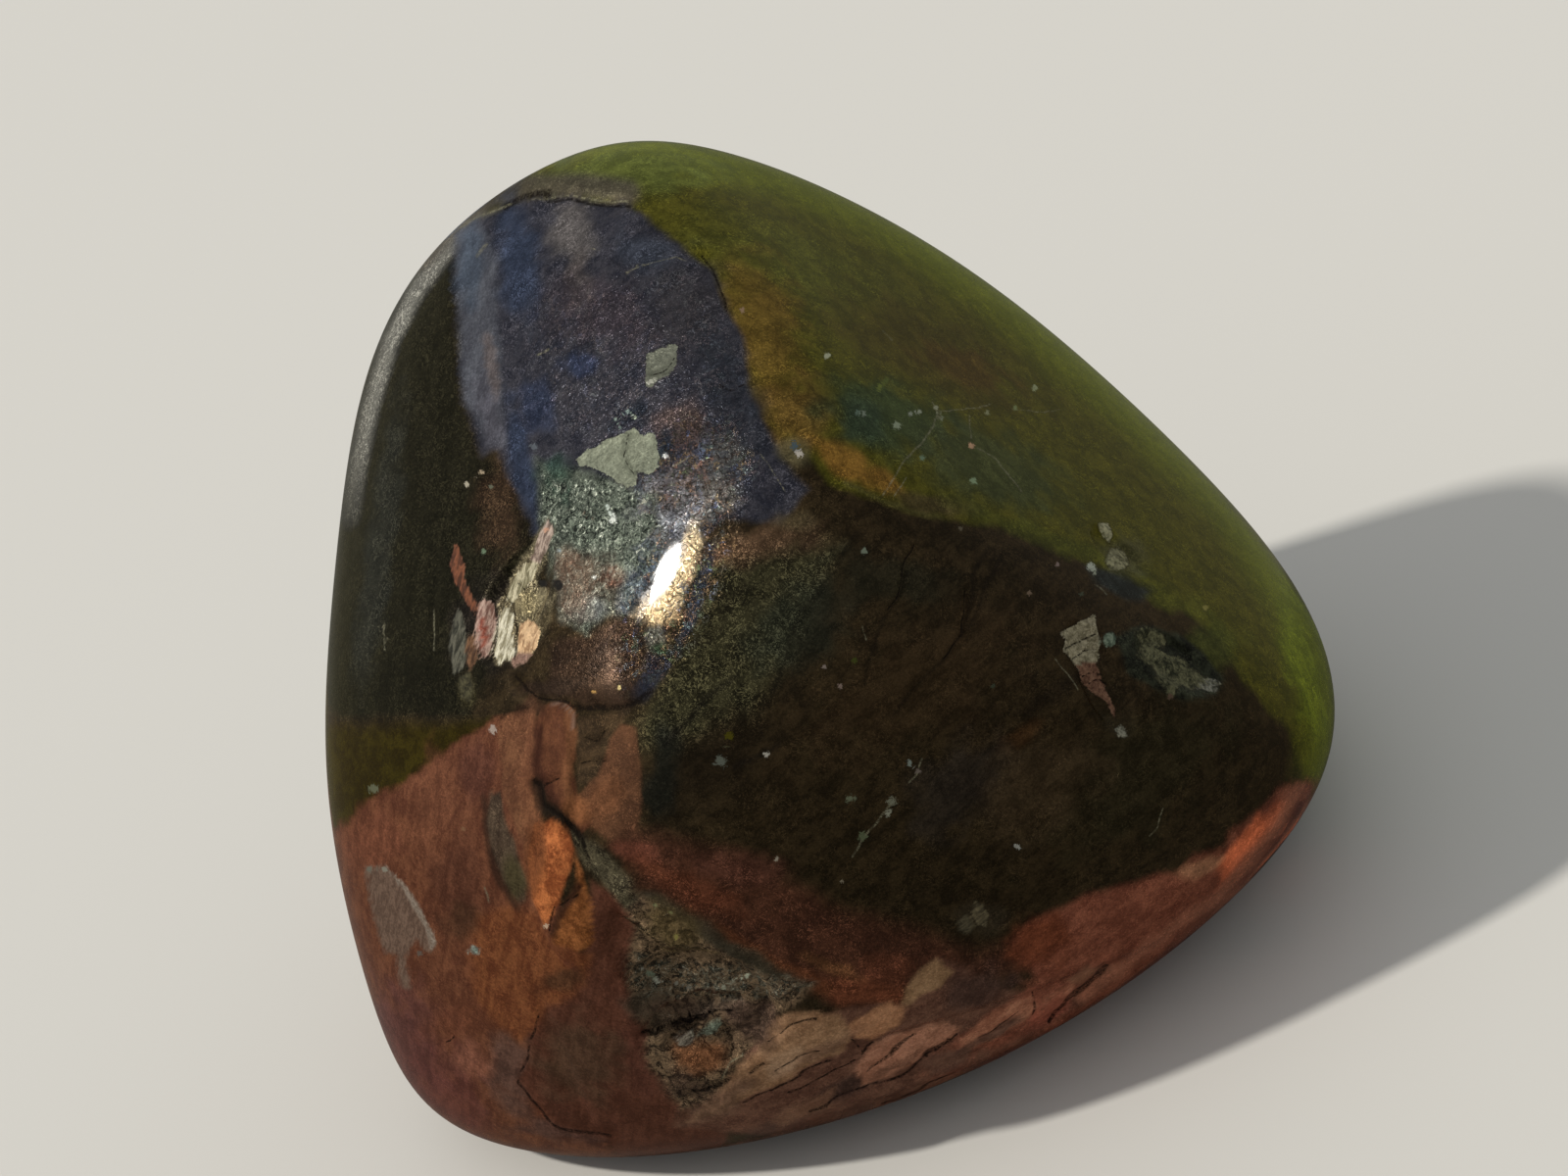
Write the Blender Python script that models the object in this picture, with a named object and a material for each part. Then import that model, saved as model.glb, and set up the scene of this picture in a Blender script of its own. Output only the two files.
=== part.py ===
"""A tumbled peacock ore (bornite) pebble at its real size.

Run it with: blender --background --python part.py
Metres, +Z up. The origin is the middle of the stone's footprint, on the flat spot that it rests on.
-Y is the stone's front, the side that shows its broken pocket and its light vein.
"""

import math

import bmesh
import bpy
from mathutils import Vector, noise

MM = 0.001

# The broken lump had these faces before tumbling rounded it. Each one has the way it looks, as a
# bearing from the front towards +X and an elevation in degrees, and its distance from the middle in mm.
FACES = {
    "front": (7.5, 11.5, 10.5),
    "right": (79, 34, 8.9),
    "left": (-61, 47.5, 11.4),
    "top": (-26, 61, 13.2),
    "low_left": (-51.5, 4, 13.6),
    "low_front": (-15.5, -25.5, 13.5),
    "right_foot": (26, -33.5, 13.1),
    "low_right": (77.5, -20.5, 15.6),
    "back": (176, 13, 12.5),
    "back_right": (117.5, 10.5, 13.7),
    "back_left": (-117, 7.5, 14.8),
    "crown": (149.5, 60.5, 16.4),
    "base": (0, -90, 11.1),
}
ROUNDING = 7  # a lower power rounds the edges between the faces more
REST_DEPTH = 10.9  # mm from the middle down to the flat spot

WAVE_HEIGHT = 0.10  # mm, the slight unevenness that tumbling leaves
WAVE_LENGTH = 9.0  # mm

# Relief that shows from a step away. Each has the bearing and elevation of its middle, the turn of its
# long axis from level, anticlockwise, in degrees, then its length, width and depth in mm.
# Hollows are broken out, with a steep rim. A negative depth is a lump.
HOLLOWS = {
    "pocket_foot": (-34, -14, -76, 5.2, 4.0, 0.55),
    "pocket_head": (-38, -6, -70, 4.6, 1.8, 0.30),
    "pocket_slit": (-37, -15, 2, 3.0, 0.7, 0.70),
    "quartz_nest": (-63, 41, -110, 3.8, 2.4, 0.35),
    "lump_gap": (-43, 8, -63, 4.4, 0.8, 0.30),
    "seam_end": (-57, -20, -99, 5.6, 0.7, 0.18),
    "flake_nest": (35, 7, -98, 3.6, 1.4, 0.22),
    "chip_nest": (47, 1, -60, 3.0, 1.5, 0.22),
    "ridge_nest": (59, 14, -76, 2.0, 1.6, 0.22),
    "vein_bed": (-6, -37, -16, 14.0, 3.4, 0.22),
    "copper_lump": (-46, 21, -87, 3.8, 1.5, -0.22),
    "copper_block": (-47, 4, -94, 4.6, 1.9, -0.18),
}
# A ledge stands over the ground on its lower side, which climbs back to the face over its fall.
LEDGES = {
    "waist_ledge": (-45, 30, -6, 5.2, 3.6, 0.38),
    "crown_ledge": (-155, 69, 107, 5.8, 2.2, 0.26),
}
RIM_SHARE = 0.35  # of a hollow's half width is its sloping rim
LEDGE_LIP = 0.45  # mm, how far the step of a ledge takes to drop

CUBE_STEPS = 24  # squares along each side of the cube that becomes the ball of directions
RELIEF_MARGIN = 0.8  # mm around the relief that also gets the finer squares

STONE_COLOUR = (0.055, 0.040, 0.026, 1.0)
STONE_METALLIC = 0.55
STONE_ROUGHNESS = 0.3


def clear_scene():
    for old in list(bpy.data.objects):
        bpy.data.objects.remove(old)


def heading(bearing, elevation):
    """The unit vector that looks along a bearing from the front, -Y, towards +X, and an elevation."""
    turn = math.radians(bearing)
    lift = math.radians(elevation)
    return Vector((math.cos(lift) * math.sin(turn), -math.cos(lift) * math.cos(turn), math.sin(lift)))


def smooth(share):
    """An S-curve from 0 to 1."""
    share = min(1.0, max(0.0, share))
    return share * share * (3 - 2 * share)


def reach(way):
    """How far the rounded lump reaches from its middle along a unit vector, in mm."""
    total = 0.0
    for face in FACE_VECTORS:
        total += max(0.0, way.dot(face)) ** ROUNDING
    return total ** (-1 / ROUNDING)


def patch_frame(bearing, elevation, turn):
    """The middle of a relief patch, and the unit vectors along and across its long axis."""
    middle = heading(bearing, elevation)
    level = Vector((math.cos(math.radians(bearing)), math.sin(math.radians(bearing)), 0))
    upward = middle.cross(level)
    if upward.z < 0:
        upward.negate()
    turned = math.radians(turn)
    along = level * math.cos(turned) + upward * math.sin(turned)
    across = upward * math.cos(turned) - level * math.sin(turned)
    return middle * reach(middle), along, across


def on_patch(point, frame):
    """Where a point of the rounded lump lies along and across a patch, in mm, or None if out of sight."""
    middle, along, across = frame
    if point.dot(middle) < 0:
        return None
    place = point - middle
    return place.dot(along), place.dot(across)


def hollow_depth(place, length, width, depth):
    out = math.hypot(place[0] / (length / 2), place[1] / (width / 2))
    return depth * smooth((1 - out) / RIM_SHARE)


def ledge_depth(place, length, fall, depth):
    ends = smooth((1 - abs(place[0]) / (length / 2)) / RIM_SHARE)
    step = smooth((LEDGE_LIP - place[1]) / LEDGE_LIP)
    climb = smooth(1 + place[1] / fall)
    return depth * ends * step * climb


def relief(point):
    """How far the surface lies below a point of the rounded lump, in mm."""
    cut = 0.0
    for frame, shape, sizes in PATCHES:
        place = on_patch(point, frame)
        if place is not None:
            cut += shape(place, *sizes)
    return cut


def near_relief(point):
    for frame, _, (length, width, _) in PATCHES:
        place = on_patch(point, frame)
        if place is None:
            continue
        if abs(place[0]) < length / 2 + RELIEF_MARGIN and abs(place[1]) < width / 2 + RELIEF_MARGIN:
            return True
    return False


def surface_point(way):
    """The point of the stone's surface along a direction, in mm from its middle."""
    point = way * reach(way)
    waves = noise.noise(point / WAVE_LENGTH) * WAVE_HEIGHT
    return point + way * (waves - relief(point))


FACE_VECTORS = [heading(bearing, elevation) / distance for bearing, elevation, distance in FACES.values()]
PATCHES = [(patch_frame(*row[:3]), hollow_depth, row[3:]) for row in HOLLOWS.values()]
PATCHES += [(patch_frame(*row[:3]), ledge_depth, row[3:]) for row in LEDGES.values()]


def direction_ball():
    """A cube cut into even squares and blown up to a unit ball, with finer squares at the relief."""
    ball = bmesh.new()
    bmesh.ops.create_cube(ball, size=2)
    bmesh.ops.subdivide_edges(ball, edges=ball.edges[:], cuts=CUBE_STEPS - 1, use_grid_fill=True)
    for vertex in ball.verts:
        even = [math.tan(value * math.pi / 4) for value in vertex.co]
        vertex.co = Vector(even).normalized()
    fine = set()
    for face in ball.faces:
        way = face.calc_center_median().normalized()
        if near_relief(way * reach(way)):
            fine.update(face.edges)
    bmesh.ops.subdivide_edges(ball, edges=list(fine), cuts=1, use_grid_fill=True)
    for vertex in ball.verts:
        vertex.co.normalize()
    return ball


def cut_flat_spot(body):
    """Cuts the stone off flat where it rests, and closes the cut with one flat face."""
    made = bmesh.ops.bisect_plane(
        body,
        geom=body.verts[:] + body.edges[:] + body.faces[:],
        plane_co=(0, 0, -REST_DEPTH * MM),
        plane_no=(0, 0, -1),
        clear_outer=True,
    )
    rim = [item for item in made["geom_cut"] if isinstance(item, bmesh.types.BMEdge)]
    bmesh.ops.contextual_create(body, geom=rim)


def stand_on_origin(body):
    """Moves the stone so that the origin is the middle of its footprint, on the flat spot."""
    low = Vector([min(vertex.co[axis] for vertex in body.verts) for axis in range(3)])
    high = Vector([max(vertex.co[axis] for vertex in body.verts) for axis in range(3)])
    middle = (low + high) / 2
    bmesh.ops.translate(body, verts=body.verts[:], vec=(-middle.x, -middle.y, -low.z))


def stone_material():
    """Polished bornite: a dark bronze sulphide with a metallic lustre."""
    material = bpy.data.materials.new("bornite")
    material.use_nodes = True
    shader = material.node_tree.nodes["Principled BSDF"]
    shader.inputs["Base Color"].default_value = STONE_COLOUR
    shader.inputs["Metallic"].default_value = STONE_METALLIC
    shader.inputs["Roughness"].default_value = STONE_ROUGHNESS
    return material


def make_stone(collection):
    body = direction_ball()
    for vertex in body.verts:
        vertex.co = surface_point(vertex.co.normalized()) * MM
    cut_flat_spot(body)
    stand_on_origin(body)
    bmesh.ops.triangulate(body, faces=body.faces[:])
    bmesh.ops.recalc_face_normals(body, faces=body.faces[:])
    mesh = bpy.data.meshes.new("peacock_ore")
    body.to_mesh(mesh)
    body.free()
    mesh.materials.append(stone_material())
    mesh.shade_smooth()
    stone = bpy.data.objects.new("peacock_ore", mesh)
    collection.objects.link(stone)
    return stone


def main():
    clear_scene()
    collection = bpy.data.collections.new("peacock ore")
    bpy.context.scene.collection.children.link(collection)
    make_stone(collection)


main()
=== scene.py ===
import math

import bpy
import numpy as np
from mathutils import Matrix, Vector, noise


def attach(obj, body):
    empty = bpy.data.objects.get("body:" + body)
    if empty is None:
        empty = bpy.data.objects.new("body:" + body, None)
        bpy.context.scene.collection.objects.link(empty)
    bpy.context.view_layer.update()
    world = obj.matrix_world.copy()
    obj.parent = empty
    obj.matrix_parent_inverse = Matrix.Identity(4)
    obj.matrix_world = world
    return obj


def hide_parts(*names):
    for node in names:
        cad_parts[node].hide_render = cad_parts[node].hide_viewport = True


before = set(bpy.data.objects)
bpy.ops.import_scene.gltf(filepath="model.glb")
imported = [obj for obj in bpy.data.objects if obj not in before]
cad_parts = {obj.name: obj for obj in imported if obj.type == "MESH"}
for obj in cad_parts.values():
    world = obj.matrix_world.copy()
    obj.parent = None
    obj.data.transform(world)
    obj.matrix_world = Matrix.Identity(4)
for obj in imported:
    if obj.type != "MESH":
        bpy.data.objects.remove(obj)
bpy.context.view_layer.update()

# Stone
# One natural piece of bornite, a copper ore, rounded in a tumbler and polished. The tarnish film on the
# metal-bright sulphide gives its peacock colours, and painted reflections of its surroundings add to
# them. Quartz, grey sulphide flakes and a crumbled pocket break through the polish.

# The worn faces of the stone, as in the solid that it replaces: the bearing from the front towards +X
# and the elevation that a face looks along, in degrees, and its distance from the middle in mm.
FACES = {
    "front": (7.5, 11.5, 10.5),
    "right": (79, 34, 8.9),
    "left": (-61, 47.5, 11.4),
    "top": (-26, 61, 13.2),
    "low_left": (-51.5, 4, 13.6),
    "low_front": (-15.5, -25.5, 13.5),
    "right_foot": (26, -33.5, 13.1),
    "low_right": (77.5, -20.5, 15.6),
    "back": (176, 13, 12.5),
    "back_right": (117.5, 10.5, 13.7),
    "back_left": (-117, 7.5, 14.8),
    "crown": (149.5, 60.5, 16.4),
    "base": (0, -90, 11.1),
}
ROUNDING = 7
MIDDLE = np.array((1.396, -1.912, 10.9))  # mm, in the row frame
WAVE_HEIGHT = 0.10
WAVE_LENGTH = 9.0

# Broken hollows and ledges of the solid, in mm: bearing, elevation, turn, length, width, depth.
HOLLOWS = {
    "pocket_foot": (-34, -14, -76, 5.2, 4.0, 0.55),
    "pocket_head": (-38, -6, -70, 4.6, 1.8, 0.30),
    "pocket_slit": (-37, -15, 2, 3.0, 0.7, 0.40),
    "quartz_nest": (-63, 41, -110, 3.8, 2.4, 0.25),
    "lump_gap": (-43, 8, -63, 4.4, 0.8, 0.12),
    "seam_end": (-57, -20, -99, 5.6, 0.7, 0.10),
    "flake_nest": (35, 7, -98, 3.6, 1.4, 0.20),
    "chip_nest": (47, 1, -60, 3.0, 1.5, 0.20),
    "ridge_nest": (59, 14, -76, 2.0, 1.6, 0.20),
    "vein_bed": (-6, -37, -16, 14.0, 3.4, 0.22),
    "copper_lump": (-46, 21, -87, 3.8, 1.5, -0.16),
    "copper_block": (-47, 4, -94, 4.6, 1.9, -0.18),
}
LEDGES = {
    "waist_ledge": (-45, 30, -6, 5.2, 3.6, 0.04),
    "crown_ledge": (-155, 69, 107, 5.8, 2.2, 0.26),
}
RIM_SHARE = 0.35
LEDGE_LIP = 0.45

# The front's markings are drawn on a plane that faces the eye. Its steps are 36ths of a millimetre,
# counted across and down from its upper left corner.
STEPS_PER_MM = 36
EYE_DISTANCE = 150  # mm from the stone's middle
EYE_ELEVATION = 30  # degrees
EYE_ROLL = 22  # degrees
PLANE_CENTRE = (800, 600)
STONE_ON_PLANE = (848.5, 661.0)


def unit(vector):
    return vector / np.linalg.norm(vector, axis=-1, keepdims=True)


def heading(bearing, elevation):
    turn, lift = math.radians(bearing), math.radians(elevation)
    return np.array((math.cos(lift) * math.sin(turn), -math.cos(lift) * math.cos(turn), math.sin(lift)))


lift, roll = math.radians(EYE_ELEVATION), math.radians(EYE_ROLL)
level_right = np.array((1.0, 0.0, 0.0))
level_up = np.array((0.0, math.sin(lift), math.cos(lift)))
to_eye = heading(0, EYE_ELEVATION)
plane_right = math.cos(roll) * level_right - math.sin(roll) * level_up
plane_up = math.sin(roll) * level_right + math.cos(roll) * level_up
shift_right = (STONE_ON_PLANE[0] - PLANE_CENTRE[0]) / STEPS_PER_MM
shift_down = (STONE_ON_PLANE[1] - PLANE_CENTRE[1]) / STEPS_PER_MM
eye = MIDDLE + EYE_DISTANCE * to_eye - shift_right * plane_right + shift_down * plane_up


def on_plane(points):
    """Where points in mm show on the plane, in its steps."""
    sight = points - eye
    depth = -(sight @ to_eye)
    scale = STEPS_PER_MM * EYE_DISTANCE / depth
    across = PLANE_CENTRE[0] + scale * (sight @ plane_right)
    down = PLANE_CENTRE[1] - scale * (sight @ plane_up)
    return np.stack((across, down), -1)


def smooth(share):
    share = np.clip(share, 0, 1)
    return share * share * (3 - 2 * share)


def reach(ways):
    """How far the rounded lump reaches from its middle along unit vectors, in mm."""
    total = np.zeros(len(ways))
    for bearing, elevation, distance in FACES.values():
        total += np.maximum(0, ways @ heading(bearing, elevation) / distance) ** ROUNDING
    return total ** (-1 / ROUNDING)


def waves(points, length):
    """Smooth noise between about -1 and 1 with the given wave length in mm."""
    return np.array([noise.noise(Vector(point)) for point in points / length])


def patch_place(points, bearing, elevation, turn):
    """Where points of the lump lie along and across a relief patch, and whether they are on its side."""
    way = heading(bearing, elevation)
    middle = way * reach(way[None])[0]
    level = heading(bearing + 90, 0)
    upward = np.cross(way, level)
    upward *= math.copysign(1, upward[2])
    turned = math.radians(turn)
    along = level * math.cos(turned) + upward * math.sin(turned)
    across = upward * math.cos(turned) - level * math.sin(turned)
    place = points - middle
    return place @ along, place @ across, points @ middle > 0


def solid_relief(points):
    """How far the surface lies below the rounded lump, in mm."""
    cut = np.zeros(len(points))
    for bearing, elevation, turn, length, width, depth in HOLLOWS.values():
        along, across, near = patch_place(points, bearing, elevation, turn)
        out = np.hypot(along / (length / 2), across / (width / 2))
        cut += near * depth * smooth((1 - out) / RIM_SHARE)
    for bearing, elevation, turn, length, fall, depth in LEDGES.values():
        along, across, near = patch_place(points, bearing, elevation, turn)
        ends = smooth((1 - np.abs(along) / (length / 2)) / RIM_SHARE)
        step = smooth((LEDGE_LIP - across) / LEDGE_LIP)
        cut += near * depth * ends * step * smooth(1 + across / fall)
    return cut


GRID = 128  # squares along each side of the cube whose grid is blown up to the stone
CROWDING = 0.5  # draws the grid together on the front


def stone_grid():
    """Unit vectors of a cube's grid that faces the eye, and the squares between them."""
    steps = np.arange(GRID + 1)
    first, second = np.meshgrid(steps, steps, indexing="ij")
    near, far = np.full_like(first, GRID), np.zeros_like(first)
    sides = (
        (near, first, second),
        (far, second, first),
        (second, near, first),
        (first, far, second),
        (first, second, near),
        (second, first, far),
    )
    corners = np.concatenate([np.stack(side, -1).reshape(-1, 3) for side in sides])
    shared, number = np.unique(corners, axis=0, return_inverse=True)
    number = number.reshape(len(sides), GRID + 1, GRID + 1)
    ring = (number[:, :-1, :-1], number[:, 1:, :-1], number[:, 1:, 1:], number[:, :-1, 1:])
    even = np.tan((shared / GRID * 2 - 1) * math.pi / 4)
    ways = unit(even @ np.stack((plane_right, plane_up, to_eye)))
    return unit(ways + CROWDING * to_eye), np.stack(ring, -1).reshape(-1, 4)


ways, squares = stone_grid()
lump = ways * reach(ways)[:, None]
skin = lump + ways * (waves(lump, WAVE_LENGTH) * WAVE_HEIGHT - solid_relief(lump))[:, None]
skin += MIDDLE
skin[:, 2] = np.maximum(skin[:, 2], 0)


def outward(points):
    """Unit normals of the stone's surface at its points."""
    corner = points[squares]
    square_normals = np.cross(corner[:, 2] - corner[:, 0], corner[:, 3] - corner[:, 1])
    total = np.zeros_like(points)
    for side in range(4):
        np.add.at(total, squares[:, side], square_normals)
    return unit(total)


normals = outward(skin)
facing = np.sum(normals * unit(eye - skin), -1)
seen = smooth((facing + 0.02) / 0.2)
plane = on_plane(skin)

# The edges of the markings waver by a few steps, and spread far more where the front turns out of
# sight. Each noise is read at a place of its own, so that no two of them rise and fall together.
drift = np.stack((waves(skin, 5.5), waves(skin + 40, 5.5)), -1)
ragged = np.stack((waves(skin + 80, 0.9), waves(skin + 120, 0.9)), -1)
ragged += 0.5 * np.stack((waves(skin + 160, 0.35), waves(skin + 200, 0.35)), -1)
blurred = plane + (1 - seen)[:, None] * (150 * drift + 22 * ragged) + 4 * ragged
wobble = plane + 2.5 * ragged
patchy = waves(skin + 400, 0.8) + 0.6 * waves(skin + 440, 0.35)


def pigment(red, green, blue):
    """A colour as a screen shows it, from 0 to 255, as the linear values that a shader takes."""
    shown = np.array((red, green, blue)) / 255
    return np.where(shown <= 0.04045, shown / 12.92, ((shown + 0.055) / 1.055) ** 2.4)


FAR = 80  # steps outside an outline, from where on distances no longer matter


def from_edge(places, start, end):
    """An edge, the places as seen from its start, and how far each of them is from it."""
    edge = end - start
    place = places - start
    share = np.clip(place @ edge / (edge @ edge), 0, 1)
    return edge, place, np.hypot(*(place - share[:, None] * edge).T)


def inside(outline, places):
    """How far inside a closed outline on the plane each place lies, in mm. It is negative outside."""
    points = np.array(outline, float)
    close = np.all((places > points.min(0) - FAR) & (places < points.max(0) + FAR), -1)
    spots = places[close]
    nearest = np.full(len(spots), np.inf)
    crossings = np.zeros(len(spots), int)
    for start, end in zip(points, np.roll(points, -1, 0)):
        edge, place, distance = from_edge(spots, start, end)
        nearest = np.minimum(nearest, distance)
        rises = (start[1] > spots[:, 1]) != (end[1] > spots[:, 1])
        slant = edge[0] / (edge[1] or 1)
        crossings += rises & (place[:, 0] < place[:, 1] * slant)
    depth = np.full(len(places), -float(FAR))
    depth[close] = np.where(crossings % 2, nearest, -nearest)
    return depth / STEPS_PER_MM


def area(outline, softness, lead, places=blurred):
    """1 within an outline and 0 outside it. The edge is as soft as the given mm."""
    return smooth(inside(outline, places) / softness + lead)


def beside(line, places):
    """How far each place lies to one side of an open line, and how far it is from the line, in steps."""
    points = np.array(line, float)
    near = np.full(len(places), np.inf)
    side = np.full(len(places), np.inf)
    for start, end in zip(points[:-1], points[1:]):
        edge, place, distance = from_edge(places, start, end)
        across = (edge[0] * place[:, 1] - edge[1] * place[:, 0]) / np.hypot(*edge)
        side = np.where(distance < near, across, side)
        near = np.minimum(near, distance)
    return side, near


def from_oval(middle, sizes, tilt, places):
    """How far places are from a middle, in the half sizes of an oval that is tilted clockwise."""
    angle = math.radians(tilt)
    place = places - middle
    along = (place[:, 0] * math.cos(angle) + place[:, 1] * math.sin(angle)) / sizes[0]
    across = (place[:, 1] * math.cos(angle) - place[:, 0] * math.sin(angle)) / sizes[1]
    return np.hypot(along, across)


# The film of tarnish has two tones that the shader mottles, a share of streaks in two directions and a
# share of bright flecks. Each call below lays another patch of it over the ones before. The patches are
# partly the tarnish and partly painted reflections of the surroundings in the polish: dark on the front
# and left faces, blue from the sky on top, green at the right rim and warm pink on the faces that look
# down.
GRAINS = {"steep": (1, 0, 0), "rise": (0, 1, 0), "none": (0, 0, 0)}
GROUND = (*pigment(28, 22, 13), *pigment(50, 40, 25), *GRAINS["rise"], 0.35)
OUT_OF_SIGHT = 0.7  # mm that an edge gets softer by on the back
CLOUD_REACH = 1.45  # half sizes from a cloud's middle to where it ends
CLOUD_FRAY = 0.45  # half sizes that this end wavers by
CLOUD_EDGE = 0.95  # half sizes over which it fades
CLOUD_LIGHT = 1.9  # times that its light tone is as bright as its dark one
STROKE_LIGHT = 1.4
film = np.tile(GROUND, (len(skin), 1))
raised = np.zeros(len(skin))


def lay(cover, *row):
    """Lays the values of a row over as many columns of the film, by the share that covers it."""
    under = film[:, :len(row)]
    under += cover[:, None] * (row - under)


def field(one, two, softness, grain, flecks, outline, places=blurred, strength=1.0):
    """A patch inside an outline, whose edge is as soft as the given mm."""
    cover = strength * area(outline, softness + OUT_OF_SIGHT * (1 - seen), 0.5, places)
    lay(cover, *pigment(*one), *pigment(*two), *GRAINS[grain], flecks)


def cloud(one, strength, middle, sizes, tilt=0, places=blurred):
    """A soft round patch of colour with its half sizes in steps and its tilt clockwise in degrees."""
    left = CLOUD_REACH - from_oval(middle, sizes, tilt, places) + CLOUD_FRAY * patchy
    lay(strength * smooth(left / CLOUD_EDGE), *pigment(*one), *(CLOUD_LIGHT * pigment(*one)))


def stroke(one, strength, half_width, softness, line, places=blurred):
    """A soft line of colour."""
    near = beside(line, places)[1]
    cover = strength * smooth((half_width + softness - near) / softness)
    lay(cover, *pigment(*one), *(STROKE_LIGHT * pigment(*one)))


def mound(height, middle, sizes, tilt=0):
    """A round rise of the surface by a height in mm, or a dip where it is negative."""
    raised[:] += seen * height * np.exp(-2 * from_oval(middle, sizes, tilt, plane) ** 2)


# Dark left face
# Its near-black is partly its tarnish and partly a painted dark reflection.
field((8, 7, 3), (24, 22, 13), 0.5, "steep", 2.4,
      [(560, 150), (470, 235), (466, 290), (472, 400), (493, 464), (519, 487), (545, 545), (560, 600),
       (500, 690), (480, 735), (345, 735), (300, 700), (300, 500), (340, 330), (420, 200), (520, 100)])
cloud((36, 26, 17), 0.9, (512, 512), (24, 48))
cloud((27, 27, 22), 0.6, (388, 560), (14, 130), 8)
cloud((9, 8, 4), 0.8, (430, 700), (60, 24))
cloud((38, 34, 20), 0.6, (478, 705), (10, 18))
# A pale stroke along the upper left rim is a painted reflection of the pale surroundings in the polish.
painted_rim_reflection = smooth((facing + 0.15) / 0.1) * smooth((570 - plane[:, 1]) / 150)
stroke((108, 106, 98), 0.75 * painted_rim_reflection, 3, 9,
      [(506, 208), (482, 226), (455, 256), (424, 298), (398, 349), (378, 415), (365, 478), (358, 530)],
      plane)

# Flecked shoulder to the right of the glint
field((24, 22, 14), (52, 49, 32), 1.0, "rise", 2.6,
      [(690, 560), (860, 555), (840, 600), (800, 680), (765, 735), (700, 765), (655, 760), (650, 740),
       (690, 650)])
cloud((24, 26, 19), 0.7, (815, 640), (60, 40), -50)
cloud((52, 40, 28), 0.7, (770, 560), (60, 18), -10)
cloud((20, 15, 8), 0.8, (724, 775), (60, 40), -30)
cloud((16, 17, 13), 0.8, (676, 790), (16, 50), 10)

# Dark front
cloud((40, 30, 18), 0.7, (930, 700), (130, 50), -30)
cloud((34, 30, 18), 0.7, (1160, 790), (110, 50), -35)
cloud((24, 24, 16), 0.6, (905, 590), (60, 24), 10)
cloud((54, 35, 18), 0.6, (1042, 752), (24, 10), -30)
cloud((34, 29, 24), 0.7, (985, 800), (60, 36), -30)
cloud((48, 38, 25), 0.8, (1060, 805), (60, 44), -30)
stroke((14, 12, 8), 0.5, 0, 4,
      [(876, 540), (862, 560), (849, 586), (819, 626), (803, 667), (793, 698), (780, 718)])
stroke((13, 10, 7), 0.6, 0, 4, [(928, 586), (915, 609), (895, 644), (887, 675), (882, 698)])
stroke((13, 10, 7), 0.6, 0, 4,
      [(1006, 564), (997, 583), (982, 652), (959, 677), (933, 700), (915, 728)])
stroke((14, 11, 8), 0.5, 0, 4, [(1020, 570), (1000, 619), (982, 652)])
stroke((14, 12, 9), 0.6, 1, 5, [(680, 758), (708, 726), (722, 712), (752, 690)])
stroke((15, 12, 9), 0.6, 1, 4, [(750, 784), (770, 774), (792, 760)])
stroke((16, 12, 9), 0.5, 3, 8, [(1098, 694), (1070, 712), (1050, 726)])

# Olive right face
field((56, 54, 15), (79, 75, 24), 0.25, "none", 0.5,
      [(400, 245), (470, 228), (519, 206), (552, 198), (585, 202), (639, 206), (687, 242), (727, 280),
       (741, 313), (763, 343), (763, 392), (773, 417), (794, 443), (830, 471), (845, 494), (881, 507),
       (919, 517), (957, 529), (1028, 538), (1058, 550), (1104, 571), (1125, 584), (1155, 596),
       (1193, 619), (1227, 632), (1248, 651), (1266, 696), (1286, 716), (1312, 742), (1319, 765),
       (1330, 790), (1345, 800), (1600, 830), (1600, 0), (300, 0)])
cloud((64, 64, 24), 0.7, (820, 272), (110, 34), 20)
cloud((80, 62, 25), 0.8, (775, 345), (40, 80), -10)
cloud((74, 56, 25), 0.8, (815, 420), (36, 30), 20)
cloud((50, 44, 17), 0.8, (950, 360), (110, 36), 28)
cloud((60, 44, 20), 0.5, (985, 375), (50, 16), 20)
cloud((96, 69, 28), 0.9, (866, 474), (50, 15), 28)
cloud((36, 43, 24), 0.9, (905, 425), (62, 36), 14)
cloud((36, 46, 34), 0.6, (880, 430), (24, 20), 14)
cloud((43, 47, 28), 0.8, (1010, 478), (80, 36), 22)
cloud((56, 46, 30), 0.7, (950, 515), (40, 10), 10)
cloud((57, 58, 21), 0.7, (1070, 550), (100, 10), 20)
cloud((66, 66, 23), 0.7, (1200, 615), (66, 10), 28)
cloud((56, 54, 34), 0.8, (1150, 566), (22, 20), 30)
cloud((56, 60, 25), 0.6, (1235, 660), (24, 24), 50)
stroke((62, 58, 30), 0.7, 1, 3, [(862, 492), (900, 510), (935, 521), (960, 529)], wobble)

# Green far side of the right face
# Its green is partly tarnish and partly a painted reflection of green surroundings at the grazing rim,
# as are the green clouds at the top and right rims.
field((99, 105, 16), (117, 123, 26), 1.5, "none", 0.25,
      [(500, 130), (600, 156), (700, 170), (790, 190), (886, 232), (1018, 318), (1138, 422),
       (1244, 525), (1306, 622), (1334, 700), (1338, 800), (1600, 830), (1600, 0), (500, 0)], blurred,
      0.45 + 0.55 * seen)
cloud((72, 77, 34), 0.9, (640, 176), (90, 22), -4)
cloud((98, 106, 26), 0.8, (1328, 670), (14, 80), -14)
stroke((61, 56, 48), 0.9, 6, 14,
      [(430, 262), (466, 222), (500, 200), (545, 190), (600, 190), (640, 196)], plane)
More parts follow.
